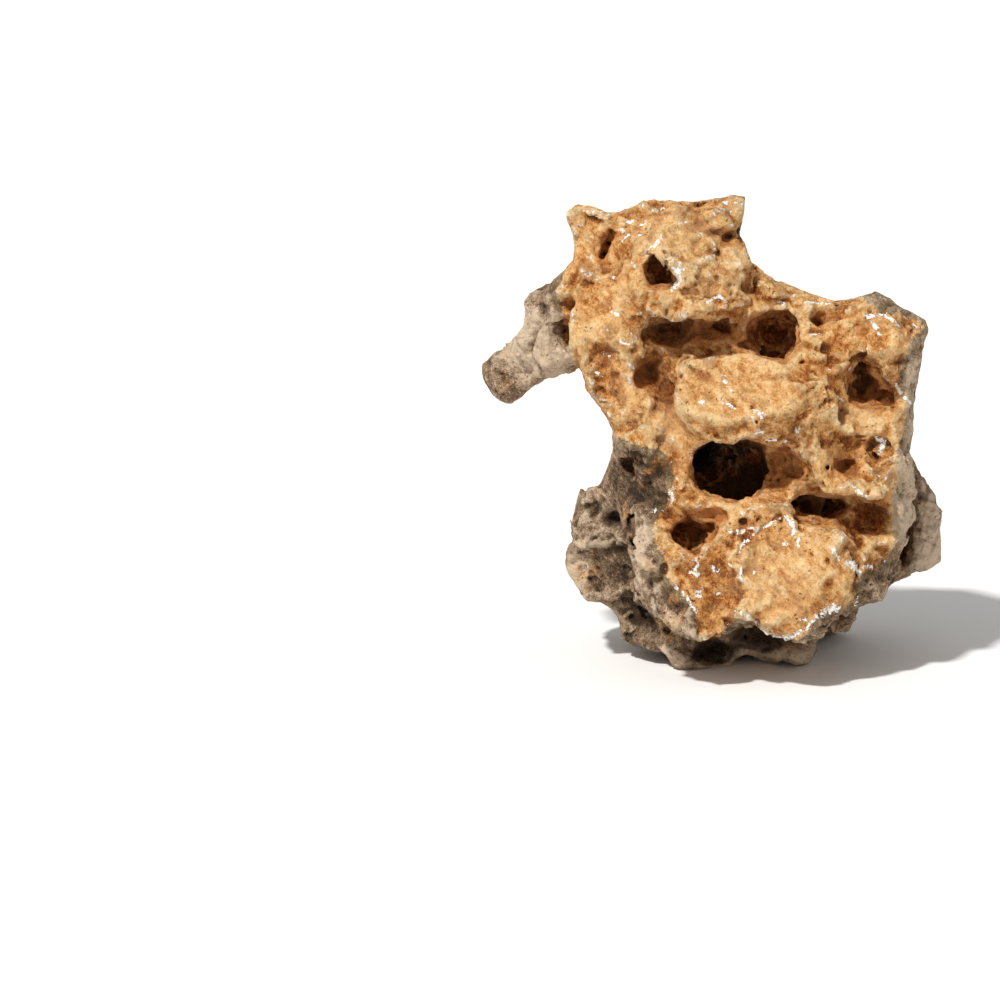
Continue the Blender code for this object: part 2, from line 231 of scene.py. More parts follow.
SEEN_HOLLOWS = {
    "deep cave": [((11.5, 123, -50), (24, 42, 19.5), 0), ((10, 114, -22), (27, 27, 24), 0)],
    "cave trough": [((35, 121, -56), (17, 25, 13.5), 0), ((46, 120, -52), (9, 15, 5), 15)],
    "trough pits": [((40, 129, -42), (2.6, 9, 2.6), 0), ((47, 128, -48), (2.0, 8, 2.8), -15)],
    "long groove": [
        ((-23, 203, -38), (20, 24, 10), -6), ((-6, 204, -40), (22, 20, 8.5), 4),
        ((-14, 209, -40), (10, 17, 6), 0),
    ],
    "recess by the groove": [((13, 207, -46), (12, 13, 11), 0), ((12, 195, -52), (16, 20, 1.8), 5)],
    "groove hole": [((36, 203, -32), (17, 28, 14.5), -20), ((27, 195, -40), (12, 22, 3.6), 0)],
    "shoulder hole": [((66, 212, -30), (5.4, 12, 3.8), -15)],
    "ridge cave": [((-35.5, 177, -44), (10.5, 24, 10.5), -10), ((-29.5, 167, -46), (6, 20, 7), 15)],
    "right cave": [
        ((91, 176, -38), (7.5, 27, 8.5), 0), ((92.5, 166.5, -38), (11.5, 27, 8.8), 0),
        ((100, 164.5, -40), (6.5, 23, 7.5), 0), ((93, 170, -30), (9, 20, 9), 0),
    ],
    "head pit": [((-35.5, 236, -46), (5.6, 11.5, 12.5), -38), ((-32.5, 220, -44), (3.6, 6.5, 8), -5)],
    "horn slot": [((-64, 256, -21), (4.2, 15, 11), 20)],
    "horn face": [((-80, 256, -32), (8, 8, 13), 5)],
    "crown corner": [((11, 260.5, -22), (5.5, 14, 3.2), -25), ((17.5, 260.5, -14), (3.6, 16, 5), 0)],
    "lower left cave": [
        ((-11, 79, -52), (7.5, 26, 5.5), -35), ((-4, 85, -54), (7, 22, 5), 0),
        ((-9, 90, -64), (17, 12, 8), -12),
    ],
    "lower right bowl": [
        ((64, 98, -48), (19, 28, 7.5), 3), ((89, 94, -58), (19, 15, 13), 18),
        ((96, 99, -52), (10, 16, 8), 0), ((77, 98, -54), (12, 18, 9), 8),
    ],
    "under the ledge": [((68.4, 122.5, -52), (3.6, 8, 3.2), 0), ((81, 121.5, -50), (7.8, 12, 5.6), 0)],
    "recess by the edge": [((88.5, 137.5, -48), (5, 8, 4.2), 0)],
    "right wing slot": [((115, 80, -8), (6, 20, 12), 0)],
    "arm pit": [((-89, 205, -24), (4.2, 14, 6), 0), ((-85.5, 220, -34), (5, 9, 2.4), 0)],
    "under the wing": [((-45, 30, -20), (10, 22, 8), 0), ((-58, 72, -16), (7, 12, 4), -25)],
    "beside the arete": [((-47.5, 75, -44), (2.8, 20, 13), -35), ((-50, 85, -38), (2.6, 16, 7), 10)],
    "flank hole": [((-58.5, 90, -16), (4.2, 14, 5), 25), ((-47.3, 94, -34), (1.8, 10, 4.2), 30)],
    "behind the lip": [((3, 8, -32), (14, 30, 8), 0), ((28, 15, -36), (17, 30, 9), 0)],
    "lip notch": [((21, 19, -74), (9, 24, 8), 0)],
    "by the chunk": [((88, 38, -40), (4, 16, 3), -20)],
}

# Broken facets that show from the front, as shallow rounds that take stone away down to a deepest
# point: (across, up, depth) of that point, (half width, half depth, half height), roll, and how far in
# degrees the facet faces to the right and upwards.
SEEN_FACETS = [
    ((50, 56, -74.5), (50, 10, 46), 0, (-7, 20)),
    ((-4, 52, -70), (21, 9, 38), 0, (8, 6)),
    ((22, 172, -60), (60, 16, 42), -8, (-8, 35)),
    ((92, 151, -46), (17, 9, 14), 0, (-15, 38)),
    ((66, 186, -46), (28, 9, 20), 0, (10, 25)),
    ((100, 204, -40), (22, 8, 17), 0, (-10, 20)),
    ((-12, 262, -31), (42, 12, 27), 5, (8, 38)),
    ((-66, 222, -36), (30, 9, 36), 10, (-30, 12)),
    ((6, 236, -40), (26, 8, 19), 0, (12, 10)),
    ((-54, 172, -42), (15, 7, 28), -25, (-35, 5)),
    ((12, 92, -66), (36, 9, 15), -5, (-5, 30)),
    ((-22, 44, -66), (11, 6, 28), -38, (-48, -10)),
    ((-48, 112, -36), (17, 7, 30), 8, (-45, 5)),
    ((-64, 62, -2), (26, 7, 24), 0, (-15, -5)),
]

# Small holes that show from the front: ((across, up), (half width, half depth, half height), roll).
# They are rounds that start at the surface of the stone, and roll is in degrees, clockwise from the
# front.
SEEN_PITS = {
    "head": [
        ((-12.6, 265.8), (1.5, 5, 1.5), 0), ((-10.2, 231.8), (1.4, 4, 1.4), 0),
        ((-13.5, 237), (3.0, 2.4, 1.9), -10), ((2, 236.4), (1.2, 3, 2.0), 0),
        ((9.7, 231.8), (1.8, 4, 1.4), 0), ((-84, 238.7), (2.8, 4, 2.4), 0),
        ((0, 247), (1.6, 3, 2.8), 10),
    ],
    "arm root": [
        ((-66.7, 182.7), (1.9, 5, 1.7), 0), ((-73, 191), (2.4, 1.4, 2.4), 0),
        ((-45.8, 196.7), (2.2, 4, 1.3), 0), ((-88, 183), (2.0, 4, 1.8), 0),
        ((-57, 168), (1.3, 3, 1.1), 0),
    ],
    "dome": [
        ((24, 158), (1.5, 4, 1.3), 0), ((26, 150), (1.4, 4, 1.2), 0), ((24, 193), (2.4, 4, 1.2), 0),
        ((-21.3, 191), (1.6, 4, 1.4), 0), ((4, 195), (2.2, 4, 1.2), 0), ((30, 159), (1.1, 3, 1.0), 0),
        ((47, 152), (1.3, 3, 1.3), 0), ((36, 142), (1.4, 3, 1.0), 0),
    ],
    "right": [
        ((52.3, 198), (1.7, 5, 1.5), 0), ((54.6, 185), (2.0, 5, 1.6), 0), ((99, 193), (2.4, 4, 2.0), 0),
        ((84.6, 206.5), (3.6, 4, 1.3), -45), ((64.7, 177.4), (2.4, 1.6, 2.2), 0),
        ((73, 163.6), (4.0, 4, 1.1), -15), ((107, 196), (1.6, 3, 2.0), 0),
        ((112, 150), (1.7, 4, 2.2), 0), ((107, 154), (1.6, 4, 1.4), 0),
    ],
    "lip": [
        ((25.5, 70), (1.3, 4, 3.3), 0), ((69.5, 66.5), (1.4, 4, 3.0), -15), ((60, 70), (1.5, 3, 1.8), 0),
        ((70.5, 52), (3.8, 2.0, 4.2), 0), ((36, 94), (1.6, 4, 1.6), 0), ((37, 102.5), (2.4, 4, 1.5), 0),
        ((4, 28.5), (8.0, 2.2, 5.5), 0), ((51, 29), (2.6, 2, 2.4), 0),
    ],
    "left flank": [
        ((-37.5, 112.7), (1.5, 5, 1.3), 0), ((-50, 119), (1.4, 4, 1.3), 0),
        ((-70, 102), (1.4, 4, 1.3), 0), ((-29.5, 60), (2.6, 6, 6.4), 10),
        ((-68.5, 62), (1.4, 4, 1.2), 0), ((-79, 58), (1.6, 4, 1.5), 0), ((-73, 55), (2.2, 4, 1.9), 0),
        ((-59, 44), (1.8, 4, 1.4), 0), ((-37, 36.7), (1.6, 4, 1.3), 0),
        ((-21.6, 38.3), (1.5, 4, 1.3), 0), ((-49, 32.6), (2.2, 5, 2.2), 0),
        ((-51, 107), (1.2, 3, 1.1), 0), ((-36, 126), (2.6, 2, 2.0), 0), ((-61, 105), (1.6, 3, 1.6), 0),
    ],
}

# Where the face is worn smooth, and where it is a sponge of fine pores: (across, up), (half width, half
# height), roll and strength.
SMOOTH_PATCHES = [
    ((18, 170), (42, 26), -10, 0.9), ((48, 54), (36, 28), 35, 0.95), ((2, 50), (16, 22), 0, 0.6),
    ((-20, 148), (15, 22), 20, 1.0), ((52, 56), (36, 30), 0, 0.95), ((-50, 112), (20, 28), 0, 0.85),
    ((-56, 62), (26, 17), -20, 0.75), ((-66, 214), (20, 24), 25, 0.85), ((-14, 264), (30, 12), 0, 0.55),
    ((102, 205), (18, 12), 0, 0.5), ((-56, 170), (14, 24), -25, 0.5), ((-2, 196), (24, 6), 0, 0.9),
    ((86, 152), (20, 9), 0, 0.8), ((-16, 130), (12, 12), 30, 0.9), ((14, 97), (26, 8), -5, 0.9),
    ((12, 249), (12, 9), 0, 0.8), ((-76, 254), (12, 14), 0, 0.8), ((40, 190), (24, 9), 0, 0.6),
    ((-24, 48), (9, 20), 30, 0.8), ((93, 51), (9, 9), 0, 0.3),
]
SPONGE_PATCHES = [
    ((-66, 86), (9, 9), 0, 1.0), ((94, 54), (12, 12), 0, 0.8), ((8, 230), (20, 14), 0, 0.8),
    ((66, 196), (26, 16), 0, 0.6), ((60, 84), (16, 8), -10, 0.6), ((-66, 62), (14, 12), 0, 0.6),
    ((122, 92), (12, 26), 0, 0.7), ((-46, 112), (12, 16), 0, 0.5),
]

# Where the stone is paler, and where it is stained darker: (across, up), (half width, half height),
# roll and strength. Some pale patches are painted light where the key light doesn't reach, over the
# arm, the right wing, the foot under the lip and the channel beside the left pillar; some stained
# patches are painted shade, in the long groove under the brow and in the trough beside the deep cave.
PALE_AND_PAINTED_LIGHT_PATCHES = [
    ((14, 172), (36, 19), -8, 0.35), ((88, 151), (18, 9), 0, 0.8), ((38, 54), (30, 26), 35, 0.7),
    ((58, 131), (9, 6), 0, 1.0), ((11, 249), (11, 9), 0, 0.8), ((14, 280), (9, 6), 0, 0.8),
    ((-77, 208), (10, 9), 0, 0.4), ((-38, 154), (14, 12), -35, 0.7), ((-104, 195), (34, 24), 35, 1.0),
    ((122, 90), (16, 44), -20, 1.0), ((-44, 80), (9, 6), -40, 1.0), ((-38, 62), (4, 14), -35, 1.0),
    ((-22, 44), (9, 26), -40, 0.1), ((-82, 60), (8, 12), 0, 0.8), ((-20, 262), (32, 16), 0, 0.9),
    ((-70, 77), (12, 2.5), 0, 0.9), ((-33, 48), (3, 12), 0, 1.0), ((-20, 30), (3, 16), -50, 0.8),
    ((-4, 236), (24, 12), 0, 0.8), ((-23, 149), (12, 18), 20, 1.0), ((18, 10), (54, 10), 0, 0.5),
    ((-52, 168), (10, 20), 0, 0.4), ((101, 221), (14, 7), 0, 0.2), ((-6, 248), (30, 12), 0, 0.6),
    ((-48, 184), (14, 24), -20, 0.5), ((-56, 225), (14, 10), 0, 0.4), ((70, 76), (12, 8), 0, 0.3),
    ((118, 170), (6, 40), 0, 0.5),
]
STAINED_AND_PAINTED_SHADE_PATCHES = [
    ((2, 264), (24, 14), 0, 0.4), ((20, 149), (30, 6), -8, 0.5), ((0, 50), (15, 24), 0, 0.7),
    ((14, 55), (3, 14), 0, 0.8), ((-14, 112), (13, 22), 20, 0.45), ((-16, 88), (15, 10), 0, 0.7),
    ((-8, 58), (13, 20), 0, 0.6), ((54, 47), (18, 8), 38, 0.9), ((34, 62), (6, 4), 38, 0.5),
    ((46, 27), (9, 5), -10, 0.5), ((4, 28), (9, 7), 0, 0.9), ((-50, 116), (16, 26), 0, 1.0),
    ((-57, 60), (7, 8), 0, 1.0), ((90, 94), (18, 12), 0, 0.4), ((-22, 168), (4, 10), 5, 0.5),
    ((72, 190), (24, 14), 10, 0.35), ((12, 206), (11, 10), 0, 0.5), ((80, 36), (9, 7), 0, 0.6),
    ((52, 28), (5, 4), 0, 0.7), ((40, 121), (16, 12), 0, 1.0), ((-4, 205), (18, 9), 0, 1.0),
    ((-60, 260), (8, 10), 15, 0.4), ((40, 88), (16, 8), 0, 0.3),
]

# Strokes of white crust on the front: their points, as (across, up), and the half width of the stroke.
CRUST_STROKES = [
    ([(45, 94), (48, 88), (49, 84)], 2.6), ([(51, 80), (51, 76)], 1.5), ([(43, 78), (43, 74)], 1.1),
    ([(17, 76), (21, 80), (26, 84), (33, 88), (40, 92)], 0.9), ([(17, 76), (22, 79)], 1.4),
    ([(26, 157), (30, 153)], 2.2), ([(-8, 162), (2, 161)], 1.0), ([(5, 163), (11, 160), (15, 156)], 1.2),
    ([(4, 178), (8, 174), (12, 168)], 1.0), ([(32, 139), (40, 139), (47, 138)], 0.9),
    ([(50, 146), (51, 142)], 1.0), ([(25, 143), (30, 144)], 1.2),
    ([(-24, 243), (-20, 240), (-20, 234), (-25, 228)], 2.0), ([(-20, 240), (-15, 243)], 1.3),
    ([(-3, 222), (4, 226), (8, 222)], 1.6), ([(93, 214), (97, 208), (101, 203)], 1.8),
    ([(95, 214), (104, 214), (112, 208)], 1.3), ([(120, 208), (126, 207)], 1.3),
    ([(90, 193), (94, 196)], 1.3), ([(82, 181), (84, 184)], 1.2), ([(70, 181), (75, 180)], 0.9),
    ([(110, 173), (113, 167), (119, 161)], 1.3), ([(99, 140), (103, 138), (100, 131)], 2.0),
    ([(98, 118), (104, 116)], 1.2), ([(-48, 207), (-42, 208)], 1.0),
    ([(-48, 203), (-43, 199), (-39, 197)], 1.5), ([(-58, 200), (-52, 196), (-48, 198)], 1.2),
    ([(-66, 192), (-62, 188)], 1.3), ([(-50, 185), (-46, 181), (-49, 178)], 1.4),
    ([(-70, 180), (-66, 177)], 1.2), ([(-56, 266), (-50, 262), (-54, 259)], 1.3),
    ([(-41, 252), (-35, 256), (-30, 261)], 1.2), ([(-72, 246), (-67, 243)], 1.2),
    ([(-19, 269), (-16, 270)], 1.2), ([(-20, 256), (-16, 256)], 1.0), ([(-52, 224), (-48, 222)], 1.0),
    ([(-42, 280), (-34, 276), (-28, 279)], 1.0), ([(6, 282), (9, 281)], 0.8),
    ([(12, 283), (14, 281)], 0.9), ([(16, 283), (18, 280)], 1.1), ([(9, 277), (12, 276)], 0.8),
    ([(8, 272), (12, 268)], 1.0), ([(40, 222), (44, 220)], 1.5), ([(56, 222), (70, 221)], 1.2),
    ([(58, 202), (64, 203)], 0.9), ([(77, 111), (86, 111)], 1.1),
    ([(87, 109), (92, 104), (100, 101)], 1.7), ([(72, 75), (76, 72)], 1.1),
    ([(80, 66), (86, 62), (88, 59)], 1.9), ([(88, 64), (96, 63)], 1.1), ([(-11, 75), (-4, 75)], 1.2),
    ([(-14, 60), (-10, 58)], 1.7), ([(-10, 67), (-8, 63)], 1.1), ([(-4, 64), (1, 64)], 1.0),
    ([(-11, 50), (-7, 46)], 1.2), ([(3, 48), (4, 47)], 1.1), ([(16, 72), (17, 66)], 1.1),
    ([(17, 60), (18, 54)], 1.0), ([(9, 84), (18, 85), (24, 87)], 0.8), ([(62, 79), (74, 75)], 0.6),
    ([(-8, 20), (4, 18)], 0.9), ([(14, 37), (20, 34), (27, 28)], 1.6),
    ([(28, 26), (34, 21), (44, 20)], 1.2), ([(46, 20), (52, 24), (58, 28), (64, 33), (72, 37)], 1.3),
    ([(70, 38), (76, 38)], 1.6), ([(80, 37), (86, 40), (87, 46)], 1.0), ([(52, 32), (58, 30)], 1.1),
    ([(-13, 40), (-10, 36)], 1.3), ([(-23, 52), (-13, 42)], 1.4), ([(-25, 109), (-24, 103)], 2.0),
    ([(-80, 160), (-72, 156)], 0.9), ([(17, 62), (17, 60)], 1.3), ([(17, 56), (17, 55)], 1.2),
    ([(18, 51), (18, 50)], 1.2), ([(25, 61), (25, 60)], 1.0), ([(-10, 61), (-9, 58)], 2.2),
    ([(-3, 64), (-2, 63)], 1.3), ([(1, 61), (3, 61)], 1.3), ([(2, 48), (3, 48)], 1.3),
    ([(-10, 45), (-6, 51)], 1.3), ([(9, 64), (12, 63)], 1.0), ([(9, 84), (11, 84)], 1.3),
    ([(15, 83), (17, 83)], 1.4), ([(24, 87), (25, 86)], 1.2), ([(30, 86), (36, 90)], 1.3),
    ([(71, 76), (73, 72), (76, 66)], 1.2), ([(83, 66), (88, 60)], 2.4), ([(68, 40), (76, 40)], 1.8),
    ([(63, 33), (67, 36)], 1.3), ([(-34, 98), (-38, 92)], 1.1), ([(-29, 181), (-31, 178)], 0.9),
    ([(-52, 270), (-46, 271)], 0.9), ([(-44, 268), (-40, 268)], 0.9), ([(-46, 262), (-41, 262)], 0.8),
    ([(-41, 250), (-37, 250)], 1.0), ([(-33, 264), (-31, 262)], 0.8), ([(-49, 246), (-46, 243)], 1.0),
    ([(-74, 250), (-72, 247)], 1.1), ([(-61, 238), (-59, 236)], 1.0), ([(-86, 279), (-83, 280)], 1.0),
    ([(-86, 275), (-85, 272)], 0.8), ([(-78, 277), (-74, 276)], 0.8), ([(-72, 276), (-70, 277)], 0.8),
    ([(0, 276), (2, 274)], 0.8), ([(-8, 262), (-6, 264)], 0.8), ([(-60, 216), (-56, 214)], 0.8),
]


def linear(red, green, blue):
    """The linear colour of an sRGB colour given from 0 to 255."""
    shares = [part / 255 for part in (red, green, blue)]
    return tuple(
        share / 12.92 if share <= 0.04045 else ((share + 0.055) / 1.055) ** 2.4
        for share in shares
    )


# Sizes and colours.


def length_setting(name, description, default):
    return FloatProperty(name=name, description=description + ", in millimetres", default=default)


def number_setting(name, description, default):
    return FloatProperty(name=name, description=description, default=default)


def colour_setting(name, description, *shades):
    default = linear(*shades)
    return FloatVectorProperty(name=name, description=description, subtype="COLOR", default=default)


class TUFA_PG_stone(bpy.types.PropertyGroup):
    voxel: length_setting("Grid cell", "Cell of the grid that the surface is worn on", 1.3)
    triangles: IntProperty(name="Triangles", description="Most triangles the mesh keeps", default=196000)
    rounding: IntProperty(name="Rounding", description="Cells to round the CAD facets over", default=1)
    side_growth: length_setting("Side growth", "How far the sides grow before they are cut back", 2.4)
    lump_size: length_setting("Lump size", "Distance between broad swellings", 30.0)
    lump_height: length_setting("Lump height", "Height of the broad swellings", 1.2)
    ridge_size: length_setting("Ridge size", "Distance between ridges", 17.0)
    ridge_height: length_setting("Ridge height", "Height of the ridges", 0.6)
    facet_size: length_setting("Facet size", "Width of the largest broken facets", 21.0)
    facet_height: length_setting("Facet height", "How far the largest facets tilt the surface", 3.1)
    scallop_size: length_setting("Scallop size", "Width of the scallops", 9.5)
    scallop_depth: length_setting("Scallop depth", "Depth of the scallops", 0.4)
    grain_size: length_setting("Grain size", "Width of the grains", 4.2)
    grain_height: length_setting("Grain height", "Height of the grains", 0.5)
    grit_height: length_setting("Grit height", "Height of the finest unevenness", 0.7)
    streak_height: length_setting("Streak height", "Height of the streaks on the smooth patches", 0.5)
    pore_depth: length_setting("Pore depth", "Depth of the pores of the sponges", 1.6)
    relief: length_setting("Relief", "Height of the bumps of the material", 3.2)
    pits: IntProperty(name="Pits", description="Number of small pits all over the stone", default=420)
    seed: IntProperty(name="Seed", description="Chooses the random wear", default=7)
    # Light ochre and cream are reached where the tone is highest, partly from the painted highlight on
    # crests.
    ochre_light: colour_setting("Light ochre", "Worn high ground of the ochre face", 238, 188, 126)
    ochre: colour_setting("Ochre", "Main colour of the ochre face", 208, 141, 74)
    # Deep ochre is real stain in the rust patches; where the tone is lowest in creases it is partly
    # painted shade, and half of it is the painted shade of the fine pores.
    ochre_deep: colour_setting("Deep ochre", "Iron stain in the hollows of the ochre face", 154, 86, 36)
    # Light rind is reached partly through the painted highlight on crests and the painted light of the
    # pale patches.
    rind_light: colour_setting("Light rind", "High ground of the grey-brown rind", 224, 199, 171)
    rind: colour_setting("Rind", "Main colour of the grey-brown rind", 146, 119, 92)
    # Deep rind is reached where the tone is lowest, partly through painted shade in creases and hollows.
    rind_deep: colour_setting("Deep rind", "Dirt in the hollows of the rind", 80, 62, 46)
    cream: colour_setting("Cream", "The palest of the ochre face", 248, 212, 158)
    olive: colour_setting("Olive", "Lichen tint where rind and ochre meet", 142, 120, 80)
    cave_wall: colour_setting("Cave wall", "Clean stone in the hollows of the ochre face", 220, 146, 82)
    # Shade is painted shade: walls deep in the caves go most of the way to it, and what is low and faces
    # down, or near the floor, a little.
    shade: colour_setting("Shade", "Damp stone deep in the caves and under the foot", 50, 32, 19)
    crust: colour_setting("Crust", "White crust on the crests", 255, 253, 247)


class TUFA_PG_stage(bpy.types.PropertyGroup):
    floor: FloatVectorProperty(
        name="Floor",
        description="Colour of the floor",
        subtype="COLOR",
        default=(0.93, 0.93, 0.93),
    )
    surround: number_setting("Surround", "Strength of the soft light from all round", 0.46)
    backdrop: number_setting("Backdrop", "Brightness of what is seen beyond the floor", 1.0)
    key: number_setting("Key", "Strength of the main light", 3.2)
    key_angle: FloatProperty(
        name="Key angle",
        description="How wide the main light looks from the stone",
        subtype="ANGLE",
        default=math.radians(4),
    )
    key_place: FloatVectorProperty(
        name="Key place",
        description="Where the main light shines from, towards the foot of the stone",
        subtype="TRANSLATION",
        default=(-0.66, -0.90, 1.45),
    )
    reach: FloatProperty(
        name="Reach",
        description="How far the floor goes on from its middle",
        subtype="DISTANCE",
        default=12.0,
    )


# The picture plane.


def seen_at(across, up, depth):
    """The point at a depth on the line of sight through (across, up): the eye plus the share of the way
    to the picture plane's point that brings Y to that depth."""
    point = PLACING + np.array((across, 0.0, 0.0)) + RISE * (up - GROUND_UP)
    share = (depth + PLACING[1] - EYE[1]) / (point[1] - EYE[1])
    return EYE + (point - EYE) * share


def on_picture(points):
    """Where points are seen: their offsets from the eye, scaled until they reach the picture plane."""
    offset = points - EYE.astype(points.dtype)
    reach = EYE_DISTANCE / (offset @ AIM.astype(points.dtype))
    across = offset[:, 0] * reach + VIEW_MIDDLE[0]
    up = (offset @ RISE.astype(points.dtype)) * reach + VIEW_MIDDLE[1]
    return across, up


class PictureMap:
    """Values on a square grid over the picture plane, blended between the four nearest nodes."""

    CELL = 0.8
    LOW = (-165.0, -30.0)
    NODES = 420

    def __init__(self, values):
        self.values = values.astype(np.float32)

    @classmethod
    def of(cls, make):
        """The map of a function of across and up."""
        steps = np.arange(cls.NODES) * cls.CELL
        across, up = np.meshgrid(cls.LOW[0] + steps, cls.LOW[1] + steps, indexing="ij")
        return cls(make(across.ravel(), up.ravel()).reshape(across.shape))

    @classmethod
    def nearest(cls, field):
        """The least depth of the field's surface on each line of sight."""
        _, places = field.cells(np.abs(field.values) < field.voxel)
        nodes = [
            np.clip(np.round((where - low) / cls.CELL).astype(int), 0, cls.NODES - 1)
            for where, low in zip(on_picture(places), cls.LOW)
        ]
        values = np.full((cls.NODES, cls.NODES), 1e3, np.float32)
        np.minimum.at(values, tuple(nodes), places[:, 1] - np.float32(PLACING[1]))
        return cls(values).least_within(2)

    def least_within(self, nodes):
        """The map of the least value within that many nodes on both axes."""
        values = self.values
        steps = range(-nodes, nodes + 1)
        for axis in (0, 1):
            values = functools.reduce(np.minimum, [np.roll(values, step, axis) for step in steps])
        return PictureMap(values)

    def __call__(self, across, up):
        x = np.clip((across - self.LOW[0]) / self.CELL, 0, self.NODES - 1.001)
        y = np.clip((up - self.LOW[1]) / self.CELL, 0, self.NODES - 1.001)
        i, j = x.astype(np.int32), y.astype(np.int32)
        x, y = (x - i).astype(np.float32), (y - j).astype(np.float32)
        near = self.values[i, j] * (1 - x) + self.values[i + 1, j] * x
        far = self.values[i, j + 1] * (1 - x) + self.values[i + 1, j + 1] * x
        return near * (1 - y) + far * y


def depth_behind(points, nearest):
    """How far points lie behind the nearest surface on their line of sight."""
    return points[:, 1] - np.float32(PLACING[1]) - nearest(*on_picture(points))


def front_share(points, nearest, start, end):
    """1 for points less than start behind the nearest surface on their line of sight, and 0 beyond
    end."""
    return 1 - rise_between(depth_behind(points, nearest), start, end)


# Random fields.

TABLE_BITS = 6
TABLE_SIDE = 1 << TABLE_BITS
CORNERS = [(i, j, k) for i in (0, 1) for j in (0, 1) for k in (0, 1)]


def table_index(cells, corner):
    """Where a lattice cell's entry is in a random table that repeats every TABLE_SIDE cells."""
    x, y, z = ((cells[:, axis] + corner[axis]) & (TABLE_SIDE - 1) for axis in range(3))
    return (((x << TABLE_BITS) | y) << TABLE_BITS) | z


@functools.lru_cache(maxsize=None)
def random_table(seed, low, high, width=1):
    """Random values for each lattice corner, or rows of that many values."""
    table = np.random.default_rng(seed).uniform(low, high, (TABLE_SIDE**3, width)).astype(np.float32)
    return table[:, 0].copy() if width == 1 else table


def smooth_noise(points, size, seed):
    """Random values from -1 to 1 at the corners of cells of that size, blended by 3t² - 2t³ on each
    axis."""
    table = random_table(seed, -1, 1)
    scaled = points / np.float32(size)
    cells = np.floor(scaled).astype(np.int32)
    part = scaled - cells
    part = part * part * (3 - 2 * part)
    total = np.zeros(len(points), np.float32)
    for corner in CORNERS:
        weight = np.ones(len(points), np.float32)
        for axis in range(3):
            weight *= part[:, axis] if corner[axis] else 1 - part[:, axis]
        total += weight * table[table_index(cells, corner)]
    return total


def layered_noise(points, size, seed, layers=3):
    """The sum of smooth noise at half the size and half the height each time."""
    total = np.zeros(len(points), np.float32)
    for layer in range(layers):
        total += smooth_noise(points, size / 2**layer, seed + layer) / 2**layer
    return total


def warped(points, size, reach, seed):
    """The points, each moved by up to reach along X, Y and Z by three smooth noises."""
    moves = [smooth_noise(points, size, seed + axis) for axis in range(3)]
    return points + np.float32(reach) * np.stack(moves, 1)


def cell_distance(points, size, seed):
    """Distance to the nearest of the seeds, one in each cell, in cells, and how far the point lies from
    that seed along the seed's own random direction. The nearest eight cells are tried."""
    spots = random_table(seed, 0.12, 0.88, 3)
    ways = random_table(seed + 1000, -1, 1, 3)
    scaled = points / np.float32(size)
    cells = np.floor(scaled - 0.5).astype(np.int32)
    nearest = np.full(len(points), 9.0, np.float32)
    tilt = np.zeros(len(points), np.float32)
    for corner in CORNERS:
        entry = table_index(cells, corner)
        away = cells + np.array(corner, np.int32) + spots[entry] - scaled
        apart = np.einsum("ij,ij->i", away, away)
        closer = apart < nearest
        nearest[closer] = apart[closer]
        tilt[closer] = np.einsum("ij,ij->i", away[closer], ways[entry[closer]])
    return np.sqrt(nearest), tilt


def rise_between(values, low, high):
    """0 below low, 1 above high, and 3t² - 2t³ between them."""
    share = np.clip((values - low) / (high - low), 0, 1)
    return share * share * (3 - 2 * share)


def from_least(least, share):
    """The least where share is 0, and 1 where it is 1."""
    return least + (1 - least) * share


# The distance field.


